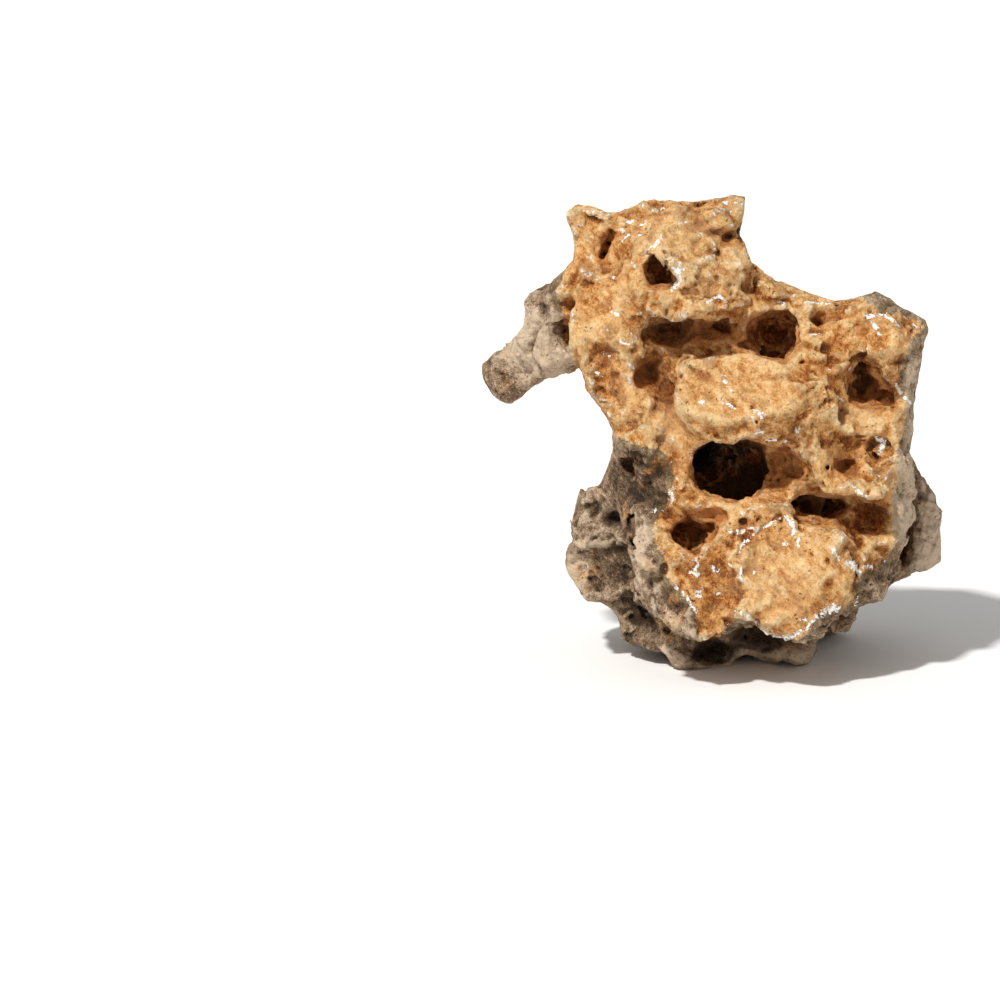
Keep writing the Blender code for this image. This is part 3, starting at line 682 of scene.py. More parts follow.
class Field:
    """Distances to the stone's surface on a grid: negative inside, in millimetres."""

    def __init__(self, values, low, voxel):
        self.values = values
        self.low = np.array(low)
        self.voxel = voxel

    @classmethod
    def around(cls, points, faces, voxel, reach=8, margin=10):
        """The signed distance to a closed mesh of triangles, exact up to reach cells and constant
        beyond."""
        grid = openvdb.FloatGrid.createLevelSetFromPolygons(
            points.astype(np.float32),
            triangles=faces.astype(np.uint32),
            transform=openvdb.createLinearTransform(voxelSize=voxel),
            halfWidth=reach,
        )
        low, high = (np.array(corner) for corner in grid.evalActiveVoxelBoundingBox())
        low, high = low - margin, high + margin
        values = np.full(high - low + 1, grid.background, np.float32)
        grid.copyToArray(values, ijk=tuple(int(part) for part in low))
        return cls(values, low, voxel)

    def cells(self, chosen):
        """Flat indices of the chosen cells and their places."""
        flat = np.flatnonzero(chosen)
        index = np.stack(np.unravel_index(flat, self.values.shape), 1)
        return flat, ((index + self.low) * self.voxel).astype(np.float32)

    def block(self, middle, reach):
        """The part of the grid within reach of a point, and its places relative to that point."""
        first = np.floor((middle - reach) / self.voxel).astype(int) - self.low
        last = np.ceil((middle + reach) / self.voxel).astype(int) - self.low + 1
        first = np.clip(first, 0, self.values.shape)
        last = np.clip(last, first, self.values.shape)
        lines = [
            (np.arange(first[axis], last[axis]) + self.low[axis]) * self.voxel - middle[axis]
            for axis in range(3)
        ]
        window = tuple(slice(a, b) for a, b in zip(first, last))
        return window, np.meshgrid(*lines, indexing="ij")

    def surface(self):
        """Corner places and quads of the surface where the distance is zero."""
        grid = openvdb.FloatGrid(float(self.values.max()))
        grid.copyFromArray(self.values, ijk=tuple(int(part) for part in self.low), tolerance=0)
        grid.transform = openvdb.createLinearTransform(voxelSize=self.voxel)
        points, quads = grid.convertToQuads(0.0)
        return points, quads.astype(np.int64)

    def at(self, points, values):
        """Values of a grid of this field's shape at any places, blended between its eight nearest
        cells."""
        scaled = points / self.voxel - self.low
        cells = np.clip(np.floor(scaled).astype(np.int64), 0, np.array(values.shape) - 2)
        part = (scaled - cells).astype(np.float32)
        total = np.zeros(len(points), np.float32)
        for corner in CORNERS:
            weight = np.ones(len(points), np.float32)
            for axis in range(3):
                weight *= part[:, axis] if corner[axis] else 1 - part[:, axis]
            total += weight * values[tuple((cells + corner).T)]
        return total


def box_blurred(values, radius, passes=1):
    """The mean over a cube of 2 radius + 1 cells, found as differences of running sums on each axis."""
    width = 2 * radius + 1
    for _ in range(passes):
        for axis in range(3):
            padding = [(0, 0)] * 3
            padding[axis] = (radius + 1, radius)
            sums = np.cumsum(np.pad(values, padding, mode="edge"), axis=axis, dtype=np.float64)
            ahead = [slice(None)] * 3
            behind = [slice(None)] * 3
            ahead[axis] = slice(width, None)
            behind[axis] = slice(None, -width)
            values = ((sums[tuple(ahead)] - sums[tuple(behind)]) / width).astype(np.float32)
    return values


def faced_axes(right, upwards):
    """The axes of something that faces the front turned by those angles: its own right, in and up."""
    right, upwards = math.radians(right), math.radians(upwards)
    side = np.array((math.cos(right), math.sin(right), 0.0))
    level = np.array((math.sin(right), -math.cos(right), 0.0))
    out = level * math.cos(upwards) + np.array((0.0, 0.0, math.sin(upwards)))
    return np.array((side, -out, np.cross(out, side)))


def round_distance(field, middle, halves, roll, unevenness, axes=np.eye(3)):
    """The part of the grid near an ellipsoid, and about how far each place there is outside it: (r - 1)
    times its smallest half size, where r is the distance from its middle in half sizes. Unevenness
    moves its wall by smooth noise."""
    margin = 4 + 3 * unevenness
    window, (x, y, z) = field.block(middle, max(halves) + margin)
    places = np.stack([axis.ravel() for axis in (x, y, z)], 1).astype(np.float32)
    sine, cosine = math.sin(math.radians(roll)), math.cos(math.radians(roll))
    rolled = np.array(((cosine, 0, -sine), (0, 1, 0), (sine, 0, cosine)))
    scaled = ((rolled @ axes) / np.array(halves)[:, None]).T.astype(np.float32)
    shortest = min(halves)
    away = (np.linalg.norm(places @ scaled, axis=1) - 1) * shortest
    near = np.abs(away) < margin
    moved = places[near] + middle.astype(np.float32)
    for size, reach, seed in WALL_BENDS:
        moved = warped(moved, size, reach * unevenness, seed)
    away[near] = (np.linalg.norm((moved - middle.astype(np.float32)) @ scaled, axis=1) - 1) * shortest
    return window, away.reshape(x.shape)


def carve_round(field, middle, halves, roll, unevenness=0.4, axes=np.eye(3)):
    """Takes an ellipsoid out of the stone, and returns the part of the grid near it and the distance
    there."""
    window, away = round_distance(field, middle, halves, roll, unevenness, axes)
    field.values[window] = np.maximum(field.values[window], -away)
    return window, away


def swell_round(field, middle, halves, roll, unevenness=1.4, blend=3.0):
    """Joins an ellipsoid to the stone, with a fillet of about blend where they meet: the smaller
    distance, less h² / 4 blend, where h is how far the two distances' difference is below blend."""
    window, away = round_distance(field, middle, halves, roll, unevenness)
    values = field.values[window]
    near = np.maximum(blend - np.abs(values - away), 0)
    field.values[window] = np.minimum(values, away) - near * near / (4 * blend)


def patch_strength(across, up, patches):
    """How strongly the patches cover each place: each fades from its strength at 0.6 of its size to
    nothing at 1.2, and the strongest counts."""
    total = np.zeros(len(across), np.float32)
    for (middle_across, middle_up), (half_width, half_height), roll, strength in patches:
        turn = math.radians(roll)
        x = across - middle_across
        z = up - middle_up
        along = (x * math.cos(turn) - z * math.sin(turn)) / half_width
        above = (x * math.sin(turn) + z * math.cos(turn)) / half_height
        away = np.hypot(along, above)
        total = np.maximum(total, strength * (1 - rise_between(away, 0.6, 1.2)))
    return total


def line_distance(across, up, start, end):
    """The distance to the nearest point of a straight line from start to end."""
    (ax, ay), (bx, by) = start, end
    dx, dy = bx - ax, by - ay
    share = np.clip(((across - ax) * dx + (up - ay) * dy) / (dx * dx + dy * dy), 0, 1)
    return np.hypot(across - ax - share * dx, up - ay - share * dy)


def edge_distance(across, up, edge):
    """The distance to a closed outline, positive inside: the least distance to its sides, with the sign
    from the number of sides crossed on the way across."""
    nearest = np.full(len(across), np.inf, np.float32)
    inside = np.zeros(len(across), bool)
    for start, end in zip(edge, edge[1:] + edge[:1]):
        nearest = np.minimum(nearest, line_distance(across, up, start, end))
        (ax, ay), (bx, by) = start, end
        if ay != by:
            inside ^= ((ay > up) != (by > up)) & (across < ax + (up - ay) * (bx - ax) / (by - ay))
    return np.where(inside, nearest, -nearest)


def stroke_strength(across, up, strokes):
    """How strongly strokes of crust cover each place: 1 along the middle of each stroke, and nothing
    beyond 1.5 half widths."""
    total = np.zeros(len(across), np.float32)
    for points, half_width in strokes:
        for start, end in zip(points, points[1:]):
            away = line_distance(across, up, start, end)
            total = np.maximum(total, 1 - rise_between(away, 0.1 * half_width, 1.5 * half_width))
    return total


# The stone.


def cad_surface(node):
    """The CAD stone's corners, in millimetres, and its triangles, with corners in one place made
    one."""
    mesh = node.data
    mesh.calc_loop_triangles()
    points = np.empty(len(mesh.vertices) * 3, np.float32)
    mesh.vertices.foreach_get("co", points)
    faces = np.empty(len(mesh.loop_triangles) * 3, np.int32)
    mesh.loop_triangles.foreach_get("vertices", faces)
    points = points.reshape(-1, 3) / MM
    points, place = np.unique(np.round(points, 3), axis=0, return_inverse=True)
    return points, place.reshape(-1)[faces].reshape(-1, 3)


def wander(points, noise, stone, layers=3):
    """Layered noise of a size that adds to the stone's seed."""
    size, step = noise
    return layered_noise(points, size, stone.seed + step, layers)


def bent(points, bend, stone):
    """The points, moved by a bend of a size and reach that adds to the stone's seed."""
    size, reach, step = bend
    return warped(points, size, reach, stone.seed + step)


def shape_outline(field, stone, outline):
    """Grows the stone a little where its sides are seen from the front, and cuts it back to its
    outline, which wanders by up to about 1 mm."""
    flat, places = field.cells(np.abs(field.values) < SHAPE_REACH)
    inside = outline(*on_picture(places))
    values = field.values.flat[flat] - stone.side_growth * (1 - rise_between(inside, *SIDE_BAND))
    field.values.flat[flat] = np.maximum(values, 0.6 * wander(places, SIDE_WANDER, stone, 2) - inside)


def trim_outline(field, stone, outline):
    """Cuts off what the wear has put more than about half a millimetre outside the outline."""
    flat, places = field.cells(np.abs(field.values) < TRIM_REACH)
    inside = outline(*on_picture(places))
    allowed = 0.5 + 0.7 * wander(places, TRIM_WANDER, stone, 2)
    field.values.flat[flat] = np.maximum(field.values.flat[flat], -inside - allowed)


def shape_forms(field):
    """Adds the swellings and takes out the facets and hollows that show from the front, and returns the
    distance to the nearest hollow's wall."""
    for chain in SEEN_SWELLINGS.values():
        for middle, halves, roll in chain:
            swell_round(field, seen_at(*middle), halves, roll)
    for deepest, halves, roll, facing in SEEN_FACETS:
        axes = faced_axes(*facing)
        middle = seen_at(*deepest) - axes[1] * halves[1]
        carve_round(field, middle, halves, roll, 0.7, axes)
    hollow = np.full(field.values.shape, 20, np.float32)
    for chain in SEEN_HOLLOWS.values():
        for middle, halves, roll in chain:
            window, away = carve_round(field, seen_at(*middle), halves, roll, 1.4)
            hollow[window] = np.minimum(hollow[window], away)
    return hollow


def flatten_calm(field, smooth):
    """Blends the smooth patches of the front into the field's mean over 9 cells, taken twice."""
    flat, places = field.cells(np.abs(field.values) < SHAPE_REACH)
    front = front_share(places, PictureMap.nearest(field), *SMOOTHED_FRONT)
    share = front * smooth(*on_picture(places))
    mean = box_blurred(field.values, 4, 2).flat[flat]
    field.values.flat[flat] += share * (mean - field.values.flat[flat])


def wear(field, stone, hollow, smooth):
    """Wears the surface of the field. What it adds to the stone, in millimetres, is the sum of broad
    swellings, of weak ridges where a smooth noise crosses zero, of scallops that are deepest at random
    seeds, of facets that tilt each cell of three sizes its own way, of grains, of streaks drawn out
    along one slant, and of grit, less the pores of the sponges. The smooth patches and the walls of
    hollows take less of it, and nothing changes at the ground."""
    flat, places = field.cells(np.abs(field.values) < WEAR_REACH)
    across, up = on_picture(places)
    front = front_share(places, PictureMap.nearest(field), *WORN_FRONT)
    sponge = PictureMap.of(lambda across, up: patch_strength(across, up, SPONGE_PATCHES))
    calm = front * smooth(across, up)
    rough = (1 - calm) * from_least(LEAST["hollows"], rise_between(hollow.flat[flat], 0.0, 2.5))
    sponge = front * sponge(across, up)
    seed = stone.seed
    wandering = bent(bent(places, LONG_BEND, stone), SHORT_BEND, stone)
    patchy = rise_between(smooth_noise(places, PATCHINESS[0], seed + PATCHINESS[1]), -0.5, 0.5)
    lumps = layered_noise(wandering, stone.lump_size, seed + LUMP_SEED)
    change = lumps * stone.lump_height * from_least(LEAST["lumps"], rough)
    ridges = (1 - np.abs(smooth_noise(wandering, stone.ridge_size, seed + RIDGE_SEED))) ** 2
    change += (ridges - RIDGE_MEAN) * stone.ridge_height * from_least(LEAST["ridges"], patchy) * rough
    near, _ = cell_distance(wandering, stone.scallop_size, seed + SCALLOP_SEED)
    change += (near - SCALLOP_MEAN) * stone.scallop_depth * from_least(LEAST["scallops"], patchy) * rough
    cracked = bent(places, CRACK_BEND, stone)
    for layer, share in enumerate(FACET_SHARES):
        _, tilt = cell_distance(cracked, stone.facet_size * share, seed + FACET_SEED + layer)
        change += tilt * stone.facet_height * share * from_least(LEAST["facets"], rough)
    crumbly = rise_between(smooth_noise(places, CRUMBLING[0], seed + CRUMBLING[1]), -0.4, 0.4)
    near, _ = cell_distance(wandering, stone.grain_size, seed + GRAIN_SEED)
    change += (GRAIN_MEAN - near) * stone.grain_height * crumbly * from_least(LEAST["grains"], rough)
    slant = places @ np.float32(STREAK_STRETCH)
    change += wander(slant, STREAKS, stone, 2) * stone.streak_height * calm
    change += wander(places, GRIT, stone, 2) * stone.grit_height * from_least(LEAST["grit"], rough)
    near, _ = cell_distance(bent(places, PORE_BEND, stone), PORES[0], seed + PORES[1])
    porous = np.maximum(sponge, 0.35 * crumbly * (1 - front))
    change -= rise_between(0.42 - near, 0.0, 0.25) * stone.pore_depth * porous
    change *= rise_between(places[:, 2], *GROUND_BAND)
    field.values.flat[flat] -= change.astype(np.float32)


def pit(field, stone):
    """Sinks the holes that show from the front, then small round pits at random places of the surface,
    more of them on the sponges and at the rear, and fewer on the smooth patches."""
    nearest = PictureMap.nearest(field)
    for holes in SEEN_PITS.values():
        for (across, up), halves, roll in holes:
            depth = float(nearest(np.array([across]), np.array([up]))[0])
            carve_round(field, seen_at(across, up, depth + 0.2 * halves[1]), halves, roll)
    random = np.random.default_rng(stone.seed + PIT_SEED)
    _, places = field.cells(np.abs(field.values) < 0.5 * field.voxel)
    across, up = on_picture(places)
    front = front_share(places, nearest, *WORN_FRONT)
    calm = front * patch_strength(across, up, SMOOTH_PATCHES)
    grouped = smooth_noise(places, PIT_GROUPS[0], stone.seed + PIT_GROUPS[1])
    chance = (0.1 + rise_between(grouped, 0.0, 0.6)) * (1 - calm)
    chance = chance * (1 - 0.6 * front + 2 * front * patch_strength(across, up, SPONGE_PATCHES))
    chosen = random.choice(len(places), stone.pits, replace=False, p=chance / chance.sum())
    radii = PIT_RADIUS + PIT_SPREAD * random.random(stone.pits) ** 3
    stretch = random.uniform(*PIT_STRETCH, (stone.pits, 2))
    for place, radius, (wide, deep) in zip(places[chosen], radii, stretch):
        if place[2] > PIT_FLOOR:
            carve_round(field, place.astype(float), (radius * wide, radius * deep, radius), 0)


def drop_slivers(field):
    """Takes away thin spikes: cells with less than 0.17 of stone in the 9 cells around them end up
    outside."""
    share = box_blurred((field.values < 0).astype(np.float32), 2, 2)
    field.values = np.maximum(field.values, (0.17 - share) * 6)


def cut_at_ground(field):
    """Cuts off what is below the ground."""
    height = np.arange(field.values.shape[2]) + field.low[2]
    field.values = np.maximum(field.values, (-height * field.voxel).astype(np.float32))


def largest_piece(points, quads):
    """Drops all but the largest connected piece of a mesh. Each corner takes the lowest label of its
    neighbours, and then its label's label, until nothing changes."""
    ends = np.concatenate([quads[:, [0, 1]], quads[:, [1, 2]], quads[:, [2, 3]], quads[:, [3, 0]]])
    label = np.arange(len(points))
    while True:
        least = np.minimum(label[ends[:, 0]], label[ends[:, 1]])
        fresh = label.copy()
        np.minimum.at(fresh, ends[:, 0], least)
        np.minimum.at(fresh, ends[:, 1], least)
        fresh = fresh[fresh[fresh]]
        if (fresh == label).all():
            break
        label = fresh
    main = np.bincount(label).argmax()
    kept = label == main
    renumbered = np.cumsum(kept) - 1
    return points[kept], renumbered[quads[kept[quads[:, 0]]]]


def made_mesh(name, points, faces):
    """A mesh of those faces, in metres, with corners and faces put in as whole arrays."""
    mesh = bpy.data.meshes.new(name)
    mesh.vertices.add(len(points))
    mesh.vertices.foreach_set("co", (points * MM).astype(np.float32).ravel())
    sides = faces.shape[1]
    mesh.loops.add(faces.size)
    mesh.loops.foreach_set("vertex_index", faces.astype(np.int32).ravel())
    mesh.polygons.add(len(faces))
    mesh.polygons.foreach_set("loop_start", np.arange(0, faces.size, sides, dtype=np.int32))
    mesh.update(calc_edges=True)
    mesh.validate()
    return mesh


def made_object(name, mesh, material):
    """An object of that mesh, at the origin, with one material."""
    made = bpy.data.objects.new(name, mesh)
    bpy.context.scene.collection.objects.link(made)
    mesh.materials.append(material)
    return made


def thinned(made, triangles):
    """Replaces an object's mesh of quads by one of at most that many triangles, collapsing the flattest
    first."""
    mesh = made.data
    count = 2 * len(mesh.polygons)
    thin = made.modifiers.new("thin", "DECIMATE")
    thin.ratio = min(1.0, triangles / count)
    thin.use_collapse_triangulate = True
    bpy.context.view_layer.update()
    graph = bpy.context.evaluated_depsgraph_get()
    fresh = bpy.data.meshes.new_from_object(made.evaluated_get(graph))
    made.modifiers.clear()
    made.data = fresh
    fresh.name = mesh.name
    bpy.data.meshes.remove(mesh)


def corner_places(mesh):
    """The corners of a mesh, in millimetres."""
    points = np.empty(len(mesh.vertices) * 3, np.float32)
    mesh.vertices.foreach_get("co", points)
    return points.reshape(-1, 3) / MM


def keep_on_corners(mesh, name, values):
    """Writes values from 0 to 1 to an attribute of the corners."""
    layer = mesh.attributes.new(name, "FLOAT", "POINT")
    layer.data.foreach_set("value", np.clip(values, 0, 1).astype(np.float32))


def corner_slopes(mesh):
    """How far up each corner's surface faces: 1 up, -1 down."""
    normals = np.empty(len(mesh.vertices) * 3, np.float32)
    mesh.vertex_normals.foreach_get("vector", normals)
    return normals[2::3]


def note_relief(mesh, field, stone, hollow):
    """Writes what the material needs on each corner: how much of the space around it is stone, whether
    it is on a hollow's wall and how far behind the face, whether it is low and faces down, and where
    the ochre face, the smooth patches, the pale patches, partly painted light, the stained patches,
    partly painted shade, and the white crust are. The wall's depth behind the face and the low,
    downward faces are masks for painted shade."""
    points = corner_places(mesh)
    filled = (field.values < 0).astype(np.float32)
    close = field.at(points, box_blurred(filled, 2, 2))
    wide = field.at(points, box_blurred(filled, 5, 2))
    across, up = on_picture(points)
    nearest = PictureMap.nearest(field)
    front = front_share(points, nearest, *COLOURED_FRONT)
    face = PictureMap.of(lambda across, up: edge_distance(across, up, OCHRE_EDGE))
    inside = face(across, up) + 2.6 * wander(points, EDGE_WANDER, stone)
    depth = points[:, 1] - np.float32(PLACING[1])
    skin = 1 - rise_between(depth + 16 * wander(points, SKIN_WANDER, stone), *OCHRE_DEPTHS)
    in_hollow = 1 - rise_between(field.at(points, hollow), -0.5, 2.0)
    sunk = depth_behind(points, nearest.least_within(int(16 / PictureMap.CELL)))
    low = 1 - rise_between(points[:, 2], *UNDER_HEIGHTS)
    under = rise_between(-corner_slopes(mesh), 0.0, 0.7) * low
    strokes = stroke_strength(across, up, CRUST_STROKES) * front
    rim = (1 - rise_between(np.abs(inside), 1.0, 3.5)) * skin * 0.35
    notes = {
        # Close_hollow and bowl measure how much stone lies around a corner; the material uses them for
        # painted shade in creases and a painted highlight on crests.
        "bowl": rise_between(wide, 0.35, 0.75),
        "close_hollow": rise_between(close, 0.3, 0.75),
        "ochre": rise_between(inside, -9.0, 3.0) * skin,
        "cave": in_hollow,
        # Masks of painted shade: sunk for the walls deep in the caves, the next for what is low and
        # faces down and what is near the floor.
        "sunk": rise_between(sunk, *SUNK_DEPTHS) * rise_between(in_hollow, 0.0, 0.5),
        "low_shade": np.maximum(under, 1 - rise_between(points[:, 2], *LOW_SHADE_HEIGHTS)),
        "calm": patch_strength(across, up, SMOOTH_PATCHES) * front,
        "pale": patch_strength(across, up, PALE_AND_PAINTED_LIGHT_PATCHES) * front,
        "stain_and_shade": patch_strength(across, up, STAINED_AND_PAINTED_SHADE_PATCHES) * front,
        "crust": np.maximum(strokes, rim) * (1 - in_hollow),
    }
    for name, values in notes.items():
        keep_on_corners(mesh, name, values)


# Materials.


class Wire:
    """A node's output. Sums, differences and products with it add Math nodes."""

    def __init__(self, tree, socket):
        self.tree = tree
        self.socket = socket

    def math(self, operation, *values):
        """A Math node of those values."""
        return self.tree.node("ShaderNodeMath", {"operation": operation}, dict(enumerate(values)))

    def __add__(self, other):
        return self.math("ADD", self, other)

    __radd__ = __add__

    def __mul__(self, other):
        return self.math("MULTIPLY", self, other)

    __rmul__ = __mul__

    def __sub__(self, other):
        return self.math("SUBTRACT", self, other)

    def __rsub__(self, other):
        return self.math("SUBTRACT", other, self)

    def most(self, other):
        return self.math("MAXIMUM", self, other)

    def between(self, low, high):
        """0 below low, 1 above high, smooth between them."""
        settings = {"interpolation_type": "SMOOTHSTEP"}
        values = {"Value": self, "From Min": low, "From Max": high}
        return self.tree.node("ShaderNodeMapRange", settings, values)


class Tree:
    """A material's nodes."""

    def __init__(self, name):
        self.material = bpy.data.materials.new(name)
        self.material.use_nodes = True
        self.nodes = self.material.node_tree.nodes
        self.links = self.material.node_tree.links
        self.shader = self.nodes["Principled BSDF"]

    def node(self, kind, settings=None, values=None, output=0):
        """A node of that kind. Settings are set first, then each socket takes its value or its link."""
        made = self.nodes.new(kind)
        for name, value in (settings or {}).items():
            if name == "stops":
                self.set_stops(made.color_ramp, value)
            else:
                setattr(made, name, value)
        for name, value in (values or {}).items():
            self.feed(self.socket_of(made, name), value)
        return Wire(self, made.outputs[output])

    @staticmethod
    def socket_of(made, name):
        """A node's input by its number, or the one in use of that name."""
        if isinstance(name, int):
            return made.inputs[name]
        return next(s for s in made.inputs if s.name == name and s.enabled)

    def feed(self, socket, value):
        """Links a wire to the socket, or sets the socket to a number, a vector or a colour."""
        if isinstance(value, Wire):
            self.links.new(value.socket, socket)
        elif socket.type == "RGBA":
            socket.default_value = (*value, 1.0)[:4]
        else:
            socket.default_value = value

    @staticmethod
    def set_stops(ramp, stops):
        """Gives a colour ramp its stops: place and colour of each."""
        while len(ramp.elements) > 1:
            ramp.elements.remove(ramp.elements[-1])
        for number, (place, colour) in enumerate(stops):
            stop = ramp.elements[0] if number == 0 else ramp.elements.new(place)
            stop.position = place
            stop.color = (*colour, 1.0)[:4]

    def mix(self, factor, first, second):
        """The first colour where the factor is 0, and the second where it is 1."""
        made = self.nodes.new("ShaderNodeMix")
        made.data_type = "RGBA"
        made.clamp_factor = True
        self.feed(made.inputs[0], factor)
        self.feed(made.inputs[6], first)
        self.feed(made.inputs[7], second)
        return Wire(self, made.outputs[2])

    def vector(self, operation, *values, output=0):
        """A Vector Math node. Its numbers, such as a dot product, are its output 1."""
        settings = {"operation": operation}
        return self.node("ShaderNodeVectorMath", settings, dict(enumerate(values)), output)

    def noise(self, where, size, detail=3.0, roughness=0.55, output=0):
        """Noise whose largest lumps are about size millimetres apart."""
        values = {"Vector": where, "Scale": 1 / size, "Detail": detail, "Roughness": roughness}
        return self.node("ShaderNodeTexNoise", {}, values, output)

    def cells(self, where, size):
        """The distance to the nearest of the seeds, one in each cell, in cells."""
        return self.node("ShaderNodeTexVoronoi", {}, {"Vector": where, "Scale": 1 / size})

    def facets(self, where, size):
        """Heights of small planes, each tilted its own way: in every cell, its random colour less a
        half, dotted with how far the place is from the cell's seed, in cells."""
        ways = self.node("ShaderNodeTexVoronoi", {}, {"Vector": where, "Scale": 1 / size}, 1)
        seeds = Wire(self, ways.socket.node.outputs["Position"])
        within = self.vector("SUBTRACT", where, seeds)
        tilt = self.vector("SUBTRACT", ways, (0.5, 0.5, 0.5))
        return self.vector("DOT_PRODUCT", within, tilt, output=1) * (1 / size)

    def stretched(self, where, columns):
        """Where, with its X, Y and Z taken as dot products with the columns of a square table."""
        parts = [
            self.vector("DOT_PRODUCT", where, tuple(column), output=1)
            for column in np.transpose(columns)
        ]
        return self.node("ShaderNodeCombineXYZ", {}, dict(zip(("X", "Y", "Z"), parts)))

    def attribute(self, name):
        """A number kept on the corners, as its Fac output."""
        return self.node("ShaderNodeAttribute", {"attribute_name": name}, {}, 2)


# How far apart the lumps of the stone's colour noises are, in millimetres.
TONE_SIZES = {"broad": 38.0, "middle": 9.0, "small": 2.6, "grain": 0.9, "streaks": 2.4}
PATCH_SIZES = {"grime": 26.0, "stain": 17.0, "pale": 15.0, "rust": 11.0, "moss": 7.0}
CRUST_SIZES = {"veins": 2.2, "patches": 22.0, "pores": 2.9, "pore groups": 8.0}
CHIP_SIZES = (4.6, 2.1)

# What is kept on the corners of the stone for its material.
NOTES = ("close_hollow", "ochre", "crust", "bowl", "cave", "sunk", "low_shade", "calm", "pale", "stain_and_shade")


def darker(share, colour):
    """That share of a colour."""
    return tuple(share * part for part in colour)


def ochre_colour(tree, stone, tone, sway, note):
    """The ochre face: a ramp from deep ochre to cream by tone, its lowest stop darker for the painted
    shade in deep creases, with patches of light ochre on high ground, kept off the creases, of rust and
    of moss, and with clean stone on the walls of hollows."""
    stops = [
        # The lowest stop is darker still, for the painted shade in deep creases.
        (0.0, darker(0.45, stone.ochre_deep)),
        (0.26, stone.ochre_deep),
        (0.52, stone.ochre),
        (0.80, stone.ochre_light),
        (1.0, stone.cream),
    ]
    plain = tree.node("ShaderNodeValToRGB", {"stops": stops}, {"Fac": tone})
    pale = tree.noise(sway, PATCH_SIZES["pale"], 2.0, 0.5).between(0.52, 0.64)
    # The light ochre patches stay off the creases, keeping the painted shade there.
    ochre = tree.mix(pale * (1 - note["close_hollow"]) * 0.45, plain, stone.ochre_light)
    rust = tree.noise(sway, PATCH_SIZES["rust"], 3.0, 0.55).between(0.54, 0.66)
    ochre = tree.mix(rust * 0.5, ochre, stone.ochre_deep)
    # The pale patches, partly painted light, lean towards cream.
    ochre = tree.mix(note["pale"] * 0.24, ochre, stone.cream)
    moss = tree.noise(sway, PATCH_SIZES["moss"], 4.0, 0.65).between(0.53, 0.63)
    ochre = tree.mix(moss * 0.32, ochre, stone.olive)
    return plain, tree.mix(note["cave"] * 0.5, ochre, stone.cave_wall)


def rind_colour(tree, stone, tone, place, plain_ochre):
    """The grey-brown rind: a ramp by tone from its dirt, and the painted shade in its creases, to its
    high ground, with patches of olive grime and of ochre stain."""
    stops = [
        # The lowest stop is darker still, for the painted shade in deep creases.
        (0.0, darker(0.4, stone.rind_deep)),
        (0.26, stone.rind_deep),
        (0.54, stone.rind),
        (0.88, stone.rind_light),
    ]
    rind = tree.node("ShaderNodeValToRGB", {"stops": stops}, {"Fac": tone})
    grime = tree.noise(place, PATCH_SIZES["grime"], 3.0, 0.6).between(0.52, 0.68)
    rind = tree.mix(grime * 0.25, rind, stone.olive)
    stain = tree.noise(place, PATCH_SIZES["stain"], 3.0, 0.6).between(0.57, 0.7)
    return tree.mix(stain * 0.5, rind, plain_ochre)


